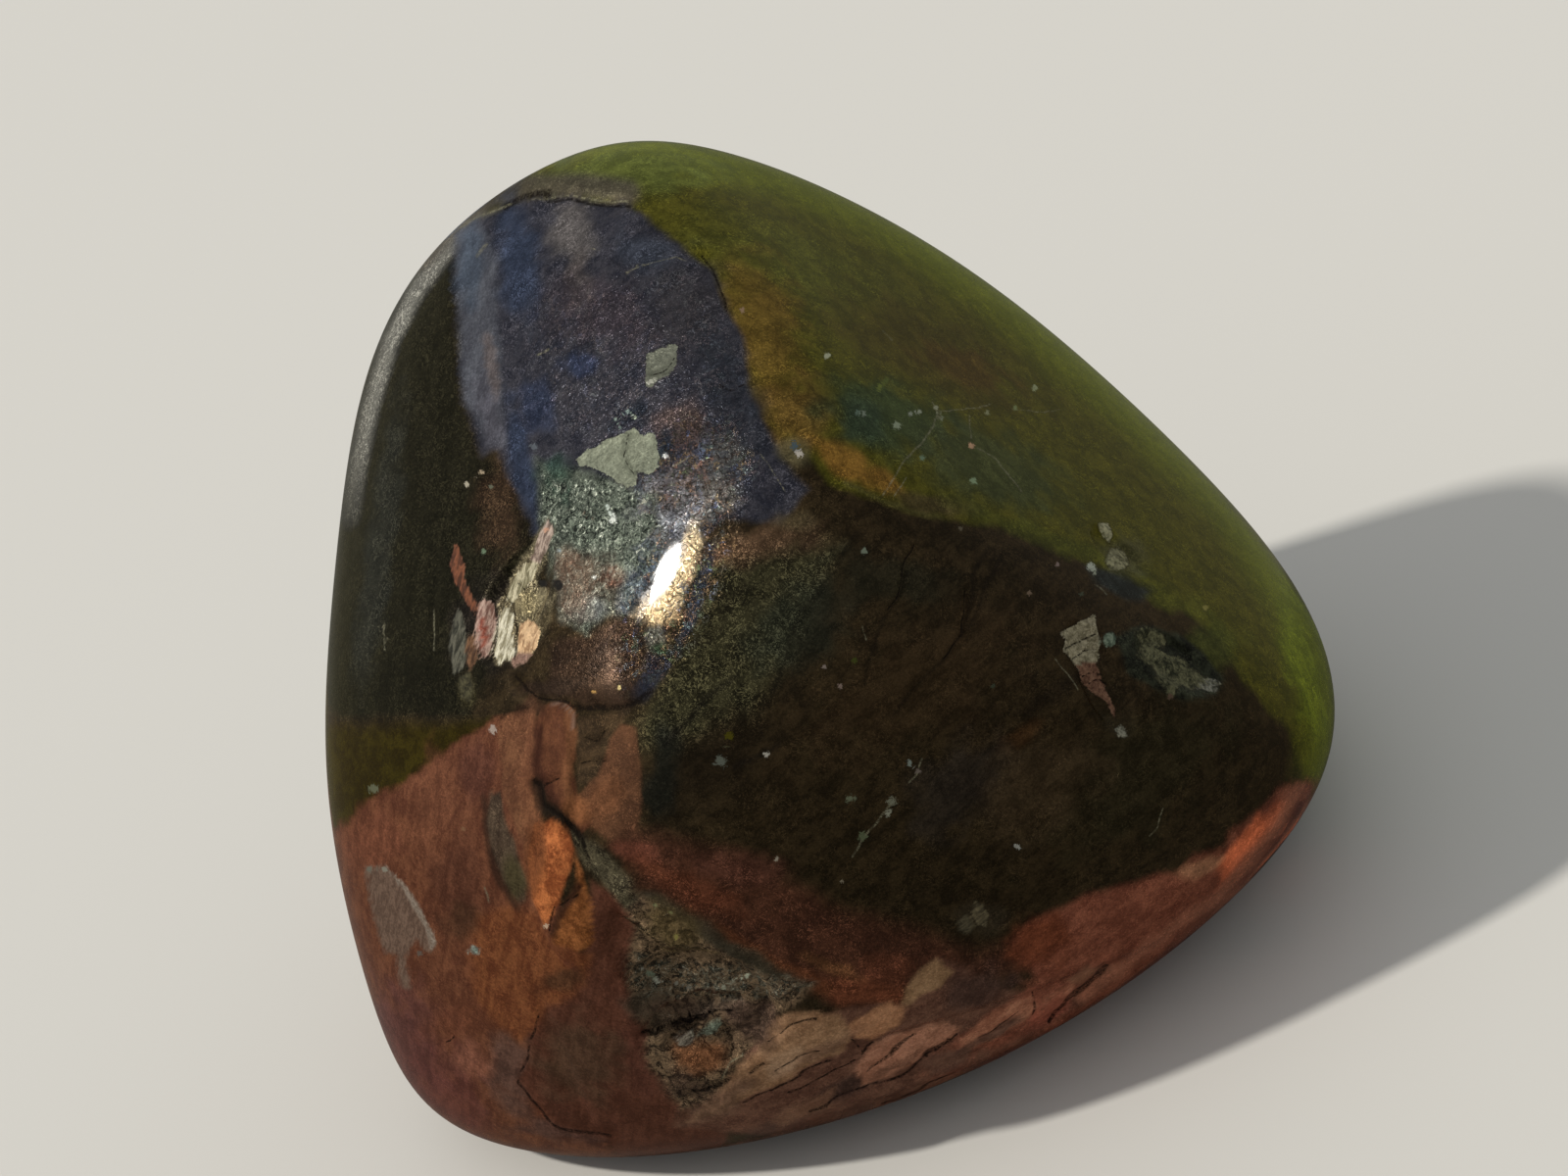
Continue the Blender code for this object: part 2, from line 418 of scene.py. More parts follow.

# Blue shoulder
# Its blue is partly tarnish and partly a painted reflection of the sky.
field((33, 34, 41), (56, 55, 60), 0.25, "rise", 0.7,
      [(466, 236), (519, 209), (552, 201), (585, 205), (639, 208), (687, 242), (727, 280), (741, 313),
       (758, 343), (763, 392), (780, 430), (800, 470), (822, 500), (800, 535), (740, 530), (700, 560),
       (640, 540), (547, 545), (519, 487), (509, 459), (493, 464), (473, 405), (469, 375), (473, 347),
       (465, 293)])
field((66, 67, 73), (88, 90, 96), 0.3, "steep", 0.1,
      [(466, 240), (490, 232), (506, 262), (506, 340), (511, 400), (515, 456), (499, 452), (475, 405),
       (470, 350)])
cloud((58, 68, 80), 0.6, (480, 272), (14, 36))
cloud((66, 64, 70), 0.7, (500, 425), (12, 40), -14)
cloud((92, 80, 74), 0.5, (501, 372), (5, 30), -8)
cloud((36, 43, 57), 0.8, (528, 265), (20, 60), -4)
cloud((74, 70, 68), 0.9, (584, 238), (20, 28), -10)
cloud((64, 58, 55), 0.7, (592, 290), (12, 34), -6)
cloud((34, 40, 53), 0.9, (534, 480), (12, 62), -12)
cloud((32, 40, 58), 0.6, (550, 415), (18, 26))
cloud((29, 38, 58), 0.6, (594, 370), (18, 12))
cloud((44, 48, 56), 0.7, (660, 258), (30, 20), 20)
cloud((42, 40, 42), 0.7, (700, 310), (36, 40), 20)
cloud((40, 35, 39), 0.7, (612, 318), (50, 34), 20)
cloud((52, 41, 37), 0.7, (694, 430), (28, 22))
cloud((31, 33, 38), 0.8, (745, 400), (28, 60), -20)
cloud((30, 32, 40), 0.8, (700, 505), (60, 16), -10)
cloud((19, 23, 29), 0.9, (640, 424), (26, 10), -24)
cloud((19, 23, 29), 0.9, (680, 458), (9, 24), 6)
cloud((60, 45, 32), 0.8, (775, 552), (60, 12), -14)
cloud((78, 72, 50), 0.6, (814, 462), (18, 14), 30)
cloud((64, 55, 38), 0.6, (812, 534), (20, 10))

# Teal speckle and brown patch beside the quartz
field((32, 36, 32), (90, 96, 84), 0.35, "none", 0.8,
      [(547, 470), (560, 478), (590, 478), (620, 488), (642, 500), (668, 505), (684, 540), (670, 590),
       (648, 625), (620, 628), (600, 648), (572, 628), (565, 600), (558, 560), (550, 530)])
cloud((28, 44, 36), 0.7, (565, 490), (18, 24))
cloud((34, 27, 21), 0.85, (604, 594), (36, 32))
cloud((90, 56, 42), 0.9, (593, 532), (12, 8), 20)
cloud((66, 42, 32), 0.6, (627, 587), (14, 9))
cloud((78, 54, 38), 0.7, (582, 576), (14, 12))
cloud((54, 62, 72), 0.8, (656, 588), (16, 44), 14)
cloud((72, 74, 74), 0.7, (600, 620), (18, 12))
field((28, 20, 14), (50, 37, 27), 0.3, "none", 0.6,
      [(560, 706), (562, 665), (575, 650), (600, 652), (625, 634), (650, 628), (658, 660), (654, 700),
       (640, 722), (600, 722)])
cloud((30, 22, 16), 0.9, (560, 702), (36, 9))
cloud((22, 16, 12), 0.6, (622, 672), (20, 16))
cloud((84, 68, 56), 0.8, (584, 592), (20, 34), -10)
cloud((40, 30, 23), 0.6, (632, 690), (16, 30), 10)

# Around the glint
# The pale grey clouds around the glint and the pale gold ones on it are painted sheen and highlight over
# a gold film; the dark blue and green clouds are tarnish.
cloud((92, 88, 80), 0.5, (722, 508), (26, 24))
cloud((66, 66, 62), 0.5, (738, 468), (20, 22))
cloud((118, 120, 124), 0.8 * seen, (680, 520), (30, 32))
cloud((186, 166, 130), 0.95 * seen, (697, 584), (11, 42), 16)
cloud((180, 156, 118), 0.95 * seen, (672, 620), (22, 18), -20)
cloud((90, 90, 80), 0.7, (668, 650), (12, 10))
cloud((32, 36, 46), 0.8, (713, 604), (7, 54), 18)
cloud((27, 30, 39), 0.8, (664, 690), (12, 28), 24)
cloud((34, 46, 29), 0.8, (672, 663), (7, 5))
cloud((50, 42, 40), 0.7, (690, 500), (36, 20), -40)

# Green band above the red-brown flank
field((34, 27, 2), (52, 44, 7), 0.45, "none", 0.2,
      [(300, 742), (400, 742), (450, 742), (500, 735), (560, 760), (400, 900), (300, 900)])

# Red-brown flank
# Its red-brown is partly the stone's own and partly a painted warm reflection from below.
field((82, 48, 34), (112, 71, 50), 0.14, "steep", 0.12,
      [(508, 731), (493, 741), (473, 754), (442, 774), (417, 797), (389, 808), (368, 825), (345, 845),
       (200, 900), (200, 1300), (640, 1300), (600, 1000), (560, 900), (545, 800), (530, 735)])
cloud((70, 42, 33), 0.7, (486, 785), (14, 36))
cloud((96, 60, 42), 0.6, (440, 826), (16, 56), 6)
cloud((96, 58, 42), 0.7, (380, 860), (26, 30), 10)
cloud((68, 41, 30), 0.7, (468, 905), (30, 40))
cloud((58, 38, 26), 0.8, (478, 940), (22, 16))
cloud((74, 45, 42), 0.8, (405, 1070), (56, 66), -30)
cloud((70, 52, 45), 0.8, (524, 1092), (26, 46))
cloud((96, 54, 32), 0.9, (512, 985), (26, 44))
cloud((88, 52, 36), 0.7, (470, 1040), (40, 16), -20)
cloud((112, 72, 57), 0.8, (478, 1084), (20, 16), 20)
cloud((100, 62, 40), 0.8, (530, 1050), (8, 14), -10)
cloud((74, 42, 37), 0.7, (455, 1120), (36, 50), -30)
cloud((68, 50, 44), 0.8, (590, 1156), (60, 10), 4)

# Smooth brown foot beside the seam
field((69, 41, 30), (93, 58, 44), 0.25, "steep", 0.1,
      [(549, 1033), (592, 985), (605, 900), (640, 920), (664, 1050), (690, 1110), (740, 1150),
       (740, 1300), (640, 1300), (624, 1165), (569, 1150), (541, 1122), (528, 1106), (533, 1092),
       (546, 1046)])
cloud((64, 38, 30), 0.6, (650, 1070), (14, 60), -14)
cloud((62, 47, 35), 0.7, (590, 1080), (40, 40))

# Copper column, lumps and blocks under the ledge
field((88, 56, 39), (116, 78, 54), 0.12, "steep", 0.2,
      [(508, 738), (520, 728), (545, 722), (548, 790), (552, 830), (556, 870), (540, 885), (528, 850),
       (514, 812)], wobble)
field((70, 42, 29), (92, 58, 39), 0.07, "steep", 0.1,
      [(545, 742), (551, 722), (566, 715), (579, 718), (587, 729), (586, 760), (583, 790), (590, 815),
       (604, 842), (594, 850), (575, 830), (556, 806), (547, 780)], wobble)
field((40, 31, 21), (64, 50, 34), 0.12, "rise", 0.5,
      [(588, 733), (612, 728), (640, 730), (634, 745), (622, 760), (612, 790), (600, 802), (588, 798)],
      wobble)
field((70, 47, 33), (90, 61, 42), 0.12, "rise", 0.3,
      [(600, 800), (612, 788), (622, 756), (634, 740), (647, 742), (653, 770), (655, 820), (648, 856),
       (622, 858), (604, 842), (590, 815)], wobble)
# The copper stroke down the lump's right edge and the pale one on its top edge are painted highlight;
# the dark stroke down its left side is painted shade.
stroke((98, 64, 42), 0.9, 2, 5,
      [(580, 726), (583, 748), (580, 775), (577, 796), (582, 814), (592, 832)], wobble)
stroke((104, 84, 72), 0.7, 0, 3, [(562, 717), (576, 719), (584, 728), (585, 742)], plane)
stroke((48, 27, 20), 0.8, 3, 6, [(549, 745), (548, 780), (556, 806), (572, 826)], wobble)
cloud((98, 62, 38), 0.8, (588, 828), (13, 13), 40, wobble)
cloud((84, 54, 35), 0.8, (620, 812), (16, 28), 10, wobble)
cloud((62, 41, 28), 0.7, (640, 850), (22, 14), 0, wobble)
field((120, 65, 36), (172, 104, 60), 0.1, "none", 0.2,
      [(545, 842), (562, 836), (578, 846), (586, 864), (578, 897), (566, 932), (557, 946), (545, 922),
       (539, 880)], wobble)
field((98, 58, 30), (140, 88, 50), 0.1, "none", 0.2,
      [(587, 864), (596, 897), (604, 922), (605, 962), (587, 972), (562, 964), (570, 933), (590, 911),
       (586, 890)], wobble)
field((90, 50, 31), (124, 76, 47), 0.35, "steep", 0.2,
      [(486, 935), (520, 925), (548, 930), (562, 965), (602, 974), (598, 1005), (560, 1028),
       (545, 1048), (532, 1062), (505, 1050), (484, 1010)])
cloud((58, 39, 26), 0.8, (575, 1000), (24, 10), -20)
cloud((72, 42, 25), 0.8, (546, 868), (11, 38), 0, wobble)
# A dark cloud under the ledge's lip is painted shadow.
cloud((44, 28, 19), 0.8, (546, 722), (16, 9))
stroke((50, 30, 20), 0.9, 2, 4, [(590, 905), (573, 930), (564, 953)], wobble)
# A dark band along the groove between the lumps is painted shade.
stroke((24, 19, 14), 0.9, 4, 5, [(547, 800), (552, 823), (575, 838), (595, 857), (600, 878)], wobble)
field((27, 23, 17), (76, 70, 53), 0.2, "none", 1.0,
      [(582, 850), (606, 858), (628, 880), (648, 902), (655, 926), (640, 930), (618, 905), (596, 882)])
field((54, 42, 33), (80, 66, 52), 0.12, "steep", 0.4,
      [(500, 808), (512, 808), (516, 840), (527, 865), (537, 895), (538, 918), (530, 922), (512, 900),
       (500, 868), (497, 835)], wobble)
cloud((52, 47, 29), 0.8, (524, 895), (10, 24), -16, wobble)
stroke((32, 25, 19), 0.7, 1, 5, [(494, 815), (498, 868), (510, 902), (527, 925)], wobble)
mound(0.03, (565, 762), (20, 46), 0)
mound(0.03, (527, 795), (16, 60), 0)
mound(-0.03, (602, 765), (12, 28), 20)
mound(0.02, (625, 805), (24, 46), 0)
mound(0.03, (560, 888), (20, 50), 0)
mound(0.02, (592, 930), (12, 36), -10)

# Red front
field((54, 33, 24), (76, 47, 34), 0.9, "none", 0.6,
      [(640, 848), (700, 858), (760, 876), (800, 895), (860, 930), (940, 950), (1000, 975),
       (1060, 950), (1060, 990), (960, 1010), (925, 1030), (880, 1040), (842, 1015), (716, 945),
       (650, 905)])
cloud((84, 48, 36), 0.8, (644, 868), (26, 9), 10)
cloud((66, 40, 31), 0.6, (760, 885), (44, 16), 10)
cloud((70, 38, 25), 0.7, (700, 905), (60, 14), 24)
cloud((84, 47, 31), 0.9, (872, 1010), (48, 16), 8)
cloud((84, 55, 34), 0.7, (850, 987), (30, 7), 20)
cloud((80, 46, 32), 0.8, (905, 988), (26, 16), 10)
stroke((82, 48, 30), 0.8, 3, 8,
      [(700, 930), (716, 941), (745, 956), (782, 979), (818, 996), (842, 1008)])
cloud((44, 40, 31), 0.9, (735, 960), (100, 11), 31)

# Vein along the foot
field((84, 56, 45), (114, 81, 65), 0.16, "rise", 0.2,
      [(690, 1150), (730, 1125), (757, 1085), (784, 1042), (857, 1030), (925, 1024), (955, 978),
       (985, 985), (1010, 1010), (1060, 1010), (1110, 985), (1160, 975), (1100, 1030), (1000, 1090),
       (900, 1135), (800, 1160)])
cloud((56, 40, 34), 0.9, (994, 1008), (36, 18), -10)
cloud((58, 42, 36), 0.9, (862, 1112), (110, 9), -27)
cloud((122, 72, 55), 0.8, (1044, 1034), (90, 18), -32)
jagged = plane + 5 * ragged
VEIN_BLOCKS = (
    ((130, 100, 72), (160, 126, 94),
     [(954, 979), (974, 989), (960, 1004), (945, 1014), (928, 1028), (920, 1026), (929, 1000)]),
    ((152, 108, 78), (180, 132, 98),
     [(886, 1037), (908, 1022), (924, 1030), (914, 1048), (891, 1063), (874, 1060), (866, 1046)]),
    ((128, 96, 70), (164, 128, 97),
     [(784, 1044), (818, 1033), (856, 1033), (868, 1048), (868, 1064), (840, 1082), (812, 1096),
      (790, 1110), (764, 1120), (738, 1135), (704, 1145), (721, 1125), (740, 1106), (757, 1087),
      (774, 1070)]),
    ((140, 96, 75), (178, 128, 103),
     [(872, 1092), (884, 1074), (905, 1062), (936, 1050), (963, 1042), (978, 1050), (962, 1068),
      (939, 1082), (903, 1101), (880, 1106)]),
    ((148, 96, 74), (186, 130, 102),
     [(978, 1062), (1004, 1041), (1030, 1024), (1052, 1015), (1058, 1026), (1046, 1040), (1024, 1053),
      (991, 1072)]),
    ((144, 94, 72), (180, 124, 98),
     [(1062, 1026), (1078, 1010), (1096, 1004), (1096, 1020), (1078, 1034), (1058, 1043)]),
    ((126, 86, 66), (152, 108, 84),
     [(1086, 998), (1104, 986), (1121, 991), (1108, 1004), (1094, 1006)]),
    ((104, 74, 58), (128, 94, 74),
     [(786, 1141), (806, 1130), (830, 1122), (856, 1110), (848, 1128), (820, 1143), (796, 1151)]),
    ((98, 68, 56), (120, 88, 72),
     [(940, 1087), (966, 1074), (994, 1069), (984, 1084), (956, 1098)]),
)
for one, two, outline in VEIN_BLOCKS:
    field(one, two, 0.14, "rise", 0.1, outline, jagged)
cloud((88, 66, 53), 0.8, (736, 1124), (40, 14), -30)
cloud((98, 74, 60), 0.6, (830, 1076), (44, 7), -28)
cloud((96, 66, 52), 0.7, (916, 1086), (30, 5), -30)
cloud((150, 124, 100), 0.6, (800, 1086), (22, 8), -28)
cloud((70, 52, 44), 0.8, (1010, 1056), (36, 4), -30)
cloud((138, 76, 60), 0.7, (1072, 1034), (24, 12), -32)
cloud((66, 50, 38), 0.6, (780, 1058), (12, 16))

# Mauve right foot
# Its pink is partly the stone's own and partly a painted warm reflection and bounce light from below.
# The salmon cloud and the pale line along the lower right rim are painted rim reflection.
field((106, 60, 45), (140, 85, 65), 0.3, "rise", 0.2,
      [(1050, 943), (1083, 923), (1119, 910), (1170, 897), (1200, 890), (1218, 874), (1251, 864),
       (1254, 851), (1282, 831), (1305, 808), (1323, 800), (1360, 790), (1500, 780), (1500, 1300),
       (900, 1300), (900, 1135), (1000, 1090), (1100, 1030), (1150, 985), (1110, 985), (1062, 1005),
       (1035, 965)])
cloud((88, 46, 29), 0.9, (1064, 962), (30, 26), -20)
cloud((196, 104, 68), 0.9, (1276, 860), (44, 12), -48)
cloud((140, 100, 74), 0.8, (1224, 884), (22, 8), -25)
stroke((150, 98, 76), 0.7, 2, 9,
      [(1325, 806), (1272, 882), (1242, 918), (1195, 948), (1162, 974), (1106, 1016)])
stroke((74, 40, 33), 0.8, 4, 9,
      [(1330, 830), (1286, 905), (1240, 952), (1180, 998), (1100, 1050), (1000, 1098)])
cloud((40, 34, 24), 0.8, (1000, 938), (24, 16), 20)

# Pocket
POCKET = [
    (656, 916), (685, 931), (716, 956), (755, 985), (794, 997), (833, 1004), (813, 1030), (784, 1040),
    (779, 1056), (755, 1084), (736, 1108), (721, 1126), (697, 1136), (673, 1108), (658, 1078),
    (656, 1050), (643, 1024), (638, 990), (646, 955), (640, 930)
]
field((34, 27, 20), (100, 82, 62), 0.2, "none", 0.6, POCKET)
cloud((60, 50, 30), 0.8, (686, 948), (30, 20), 34)
cloud((54, 45, 35), 0.9, (664, 1030), (26, 22), 10)
cloud((60, 50, 42), 0.7, (722, 1030), (40, 10), -6)
cloud((84, 54, 34), 0.9, (714, 1080), (26, 20))
cloud((40, 29, 23), 0.7, (700, 1112), (24, 14))
cloud((60, 46, 38), 0.8, (768, 1042), (26, 24), -20)
cloud((62, 48, 38), 0.6, (690, 1026), (22, 7), -10)
cloud((18, 13, 11), 0.9, (705, 1044), (22, 5), -14)
mound(-0.15, (705, 1043), (30, 8), -14)

# Black ground around the flakes of the dark front
field((16, 16, 12), (46, 48, 36), 0.15, "none", 0.5,
      [(1140, 650), (1165, 638), (1200, 645), (1232, 668), (1250, 690), (1240, 712), (1205, 716),
       (1175, 700), (1150, 690)])
field((19, 19, 16), (44, 46, 42), 0.3, "none", 0.7,
      [(1108, 578), (1140, 582), (1176, 602), (1164, 614), (1122, 602)])

# Crisp grown-in pieces are drawn by how far inside their outline a point lies. Each has two tones, a
# share of metal, the softness of its edge in mm, the darkness of the seam around it, its height in mm
# and the way that it splinters.
PIECE_RIM = 0.18  # mm from its edge to where a piece is at its full height
pieces = np.zeros((len(skin), 12))
piece_edge = np.full(len(skin), -1.0)


def piece(one, two, metal, softness, seam, height, grain, outline):
    depth = inside(outline, wobble)
    row = (*pigment(*one), *pigment(*two), *GRAINS[grain], metal, softness, seam)
    pieces[(depth > 0) | (depth > piece_edge)] = row
    raised[:] += seen * height * smooth(depth / PIECE_RIM)
    piece_edge[:] = np.maximum(piece_edge, depth)


# Grey flakes
piece((76, 78, 68), (98, 100, 88), 0.3, 0.008, 0.3, -0.02, "none",
      [(658, 362), (669, 355), (687, 351), (692, 355), (690, 372), (685, 381), (674, 385), (664, 395),
       (658, 393), (659, 377)])
piece((94, 97, 83), (118, 122, 105), 0.3, 0.008, 0.4, -0.02, "none",
      [(587, 470), (599, 460), (612, 455), (616, 449), (631, 445), (647, 437), (654, 445), (668, 441),
       (671, 456), (673, 466), (668, 479), (660, 484), (650, 481), (648, 493), (641, 499), (631, 493),
       (624, 487), (612, 481), (603, 477), (591, 476)])
piece((82, 64, 53), (102, 82, 69), 0.25, 0.1, 0.0, -0.01, "steep",
      [(373, 884), (395, 884), (402, 892), (415, 905), (425, 925), (436, 945), (444, 962), (441, 973),
       (432, 970), (426, 958), (418, 972), (414, 975), (420, 1010), (410, 1008), (405, 974),
       (392, 972), (384, 950), (378, 915)])
piece((96, 82, 70), (126, 114, 102), 0.1, 0.05, 0.0, 0.0, "none",
      [(395, 884), (402, 890), (417, 906), (429, 926), (440, 946), (446, 962), (440, 971), (434, 950),
       (421, 926), (411, 908)])

# Flakes in the dark front
piece((92, 86, 66), (146, 138, 114), 0.1, 0.02, 0.4, 0.01, "none",
      [(1082, 645), (1095, 637), (1118, 626), (1119, 640), (1123, 653), (1122, 671), (1118, 678),
       (1110, 688), (1099, 683), (1095, 673), (1087, 663), (1089, 653)])
piece((76, 52, 40), (112, 84, 66), 0.1, 0.02, 0.3, 0.01, "none",
      [(1098, 678), (1118, 676), (1123, 693), (1133, 714), (1139, 726), (1137, 735), (1130, 717),
       (1118, 709), (1105, 699)])
piece((60, 60, 48), (130, 128, 112), 0.1, 0.03, 0.2, 0.0, "none",
      [(1138, 744), (1146, 740), (1152, 750), (1142, 752)])
piece((62, 74, 60), (110, 120, 102), 0.1, 0.03, 0.4, 0.02, "none",
      [(1127, 648), (1134, 644), (1141, 649), (1140, 658), (1131, 662), (1126, 656)])
piece((34, 35, 24), (100, 98, 72), 0.25, 0.05, 0.5, 0.02, "none",
      [(1157, 648), (1165, 640), (1176, 641), (1186, 646), (1190, 655), (1183, 662), (1192, 668),
       (1204, 670), (1214, 679), (1225, 686), (1232, 692), (1240, 698), (1226, 702), (1214, 704),
       (1205, 697), (1200, 704), (1196, 713), (1190, 710), (1188, 700), (1181, 692), (1180, 682),
       (1170, 677), (1160, 668), (1165, 658)])
piece((60, 60, 50), (136, 134, 120), 0.3, 0.04, 0.0, 0.0, "none",
      [(1222, 702), (1236, 692), (1245, 697), (1240, 708)])
piece((90, 88, 62), (158, 154, 122), 0.1, 0.03, 0.4, 0.02, "none",
      [(1122, 535), (1130, 533), (1135, 545), (1132, 554), (1126, 548)])
piece((70, 68, 46), (146, 142, 108), 0.1, 0.04, 0.4, 0.02, "none",
      [(1128, 572), (1134, 560), (1142, 558), (1150, 566), (1152, 576), (1142, 582), (1132, 580)])

# Quartz nest
cloud((17, 14, 11), 0.9, (508, 640), (46, 44), -30, wobble)
field((52, 46, 34), (128, 118, 92), 0.1, "steep", 1.2,
      [(562, 526), (566, 536), (562, 555), (558, 572), (550, 586), (547, 595), (557, 602), (566, 604),
       (563, 622), (558, 640), (550, 652), (543, 665), (534, 672), (527, 679), (518, 674), (507, 680),
       (503, 666), (503, 649), (507, 633), (510, 617), (518, 601), (523, 587), (532, 571), (542, 555),
       (550, 539), (555, 529)], wobble)
cloud((92, 84, 62), 0.8, (538, 616), (14, 12), -30, wobble)
cloud((60, 52, 36), 0.8, (556, 634), (8, 20), 20, wobble)
piece((104, 88, 78), (168, 150, 136), 0.0, 0.03, 0.3, 0.03, "steep",
      [(561, 529), (564, 545), (558, 562), (551, 577), (545, 575), (540, 570), (545, 555), (552, 540)])
piece((108, 102, 78), (182, 174, 146), 0.0, 0.03, 0.3, 0.03, "steep",
      [(541, 572), (551, 577), (545, 588), (535, 602), (523, 615), (516, 612), (519, 600), (527, 585),
       (534, 575)])
piece((126, 119, 95), (202, 196, 173), 0.0, 0.03, 0.4, 0.05, "steep",
      [(505, 640), (511, 622), (518, 616), (524, 628), (522, 645), (526, 662), (522, 676), (515, 672),
       (509, 681), (504, 662)])
piece((140, 109, 80), (198, 166, 128), 0.0, 0.04, 0.4, 0.05, "steep",
      [(527, 652), (530, 638), (539, 631), (548, 636), (550, 648), (546, 660), (539, 668), (530, 666)])
piece((92, 70, 59), (140, 112, 98), 0.0, 0.04, 0.2, 0.03, "none",
      [(520, 672), (530, 666), (542, 667), (534, 676), (524, 681)])
piece((108, 80, 70), (164, 138, 124), 0.0, 0.03, 0.3, 0.04, "steep",
      [(486, 618), (494, 613), (504, 616), (506, 630), (502, 650), (500, 668), (492, 671), (487, 655),
       (485, 635)])
piece((104, 50, 38), (146, 82, 64), 0.0, 0.05, 0.0, 0.01, "none",
      [(490, 634), (497, 631), (498, 648), (494, 664), (490, 652)])
piece((64, 40, 29), (112, 69, 48), 0.0, 0.03, 0.3, 0.02, "steep",
      [(465, 554), (470, 562), (475, 576), (476, 590), (481, 604), (486, 618), (484, 630), (478, 620),
       (471, 602), (465, 592), (460, 576)])
piece((38, 38, 31), (84, 82, 70), 0.0, 0.05, 0.0, 0.02, "steep",
      [(461, 632), (468, 622), (475, 640), (477, 668), (470, 684), (463, 690), (459, 662)])
piece((60, 42, 30), (102, 74, 52), 0.0, 0.04, 0.2, 0.02, "steep",
      [(475, 656), (482, 646), (487, 658), (487, 674), (480, 684), (475, 676)])
piece((32, 30, 20), (70, 66, 46), 0.0, 0.08, 0.0, 0.01, "none",
      [(468, 692), (478, 686), (484, 700), (480, 716), (470, 712)])
piece((12, 11, 9), (20, 18, 15), 0.0, 0.03, 0.0, -0.03, "none",
      [(551, 590), (558, 591), (557, 599), (551, 598)])
piece((12, 11, 9), (20, 18, 15), 0.0, 0.03, 0.0, -0.03, "none",
      [(562, 592), (571, 591), (573, 600), (566, 604)])

# Crusts on the flank and in the pocket
piece((60, 66, 60), (124, 136, 126), 0.0, 0.05, 0.0, 0.01, "none",
      [(476, 972), (483, 965), (492, 970), (488, 975)])
piece((54, 56, 46), (112, 120, 104), 0.0, 0.06, 0.2, 0.03, "none",
      [(714, 1056), (722, 1046), (734, 1042), (739, 1050), (727, 1056)])
piece((66, 58, 50), (124, 116, 102), 0.0, 0.05, 0.4, 0.05, "rise",
      [(688, 1062), (696, 1054), (710, 1053), (712, 1060), (700, 1068)])

# Crystals between the vein and the dark front
piece((58, 52, 38), (84, 76, 56), 0.0, 0.05, 0.3, 0.02, "rise",
      [(990, 930), (996, 918), (1002, 922), (1008, 936), (1006, 948), (996, 944)])
piece((46, 42, 31), (70, 64, 48), 0.0, 0.08, 0.3, 0.02, "rise",
      [(976, 942), (986, 932), (993, 944), (988, 952), (978, 950)])

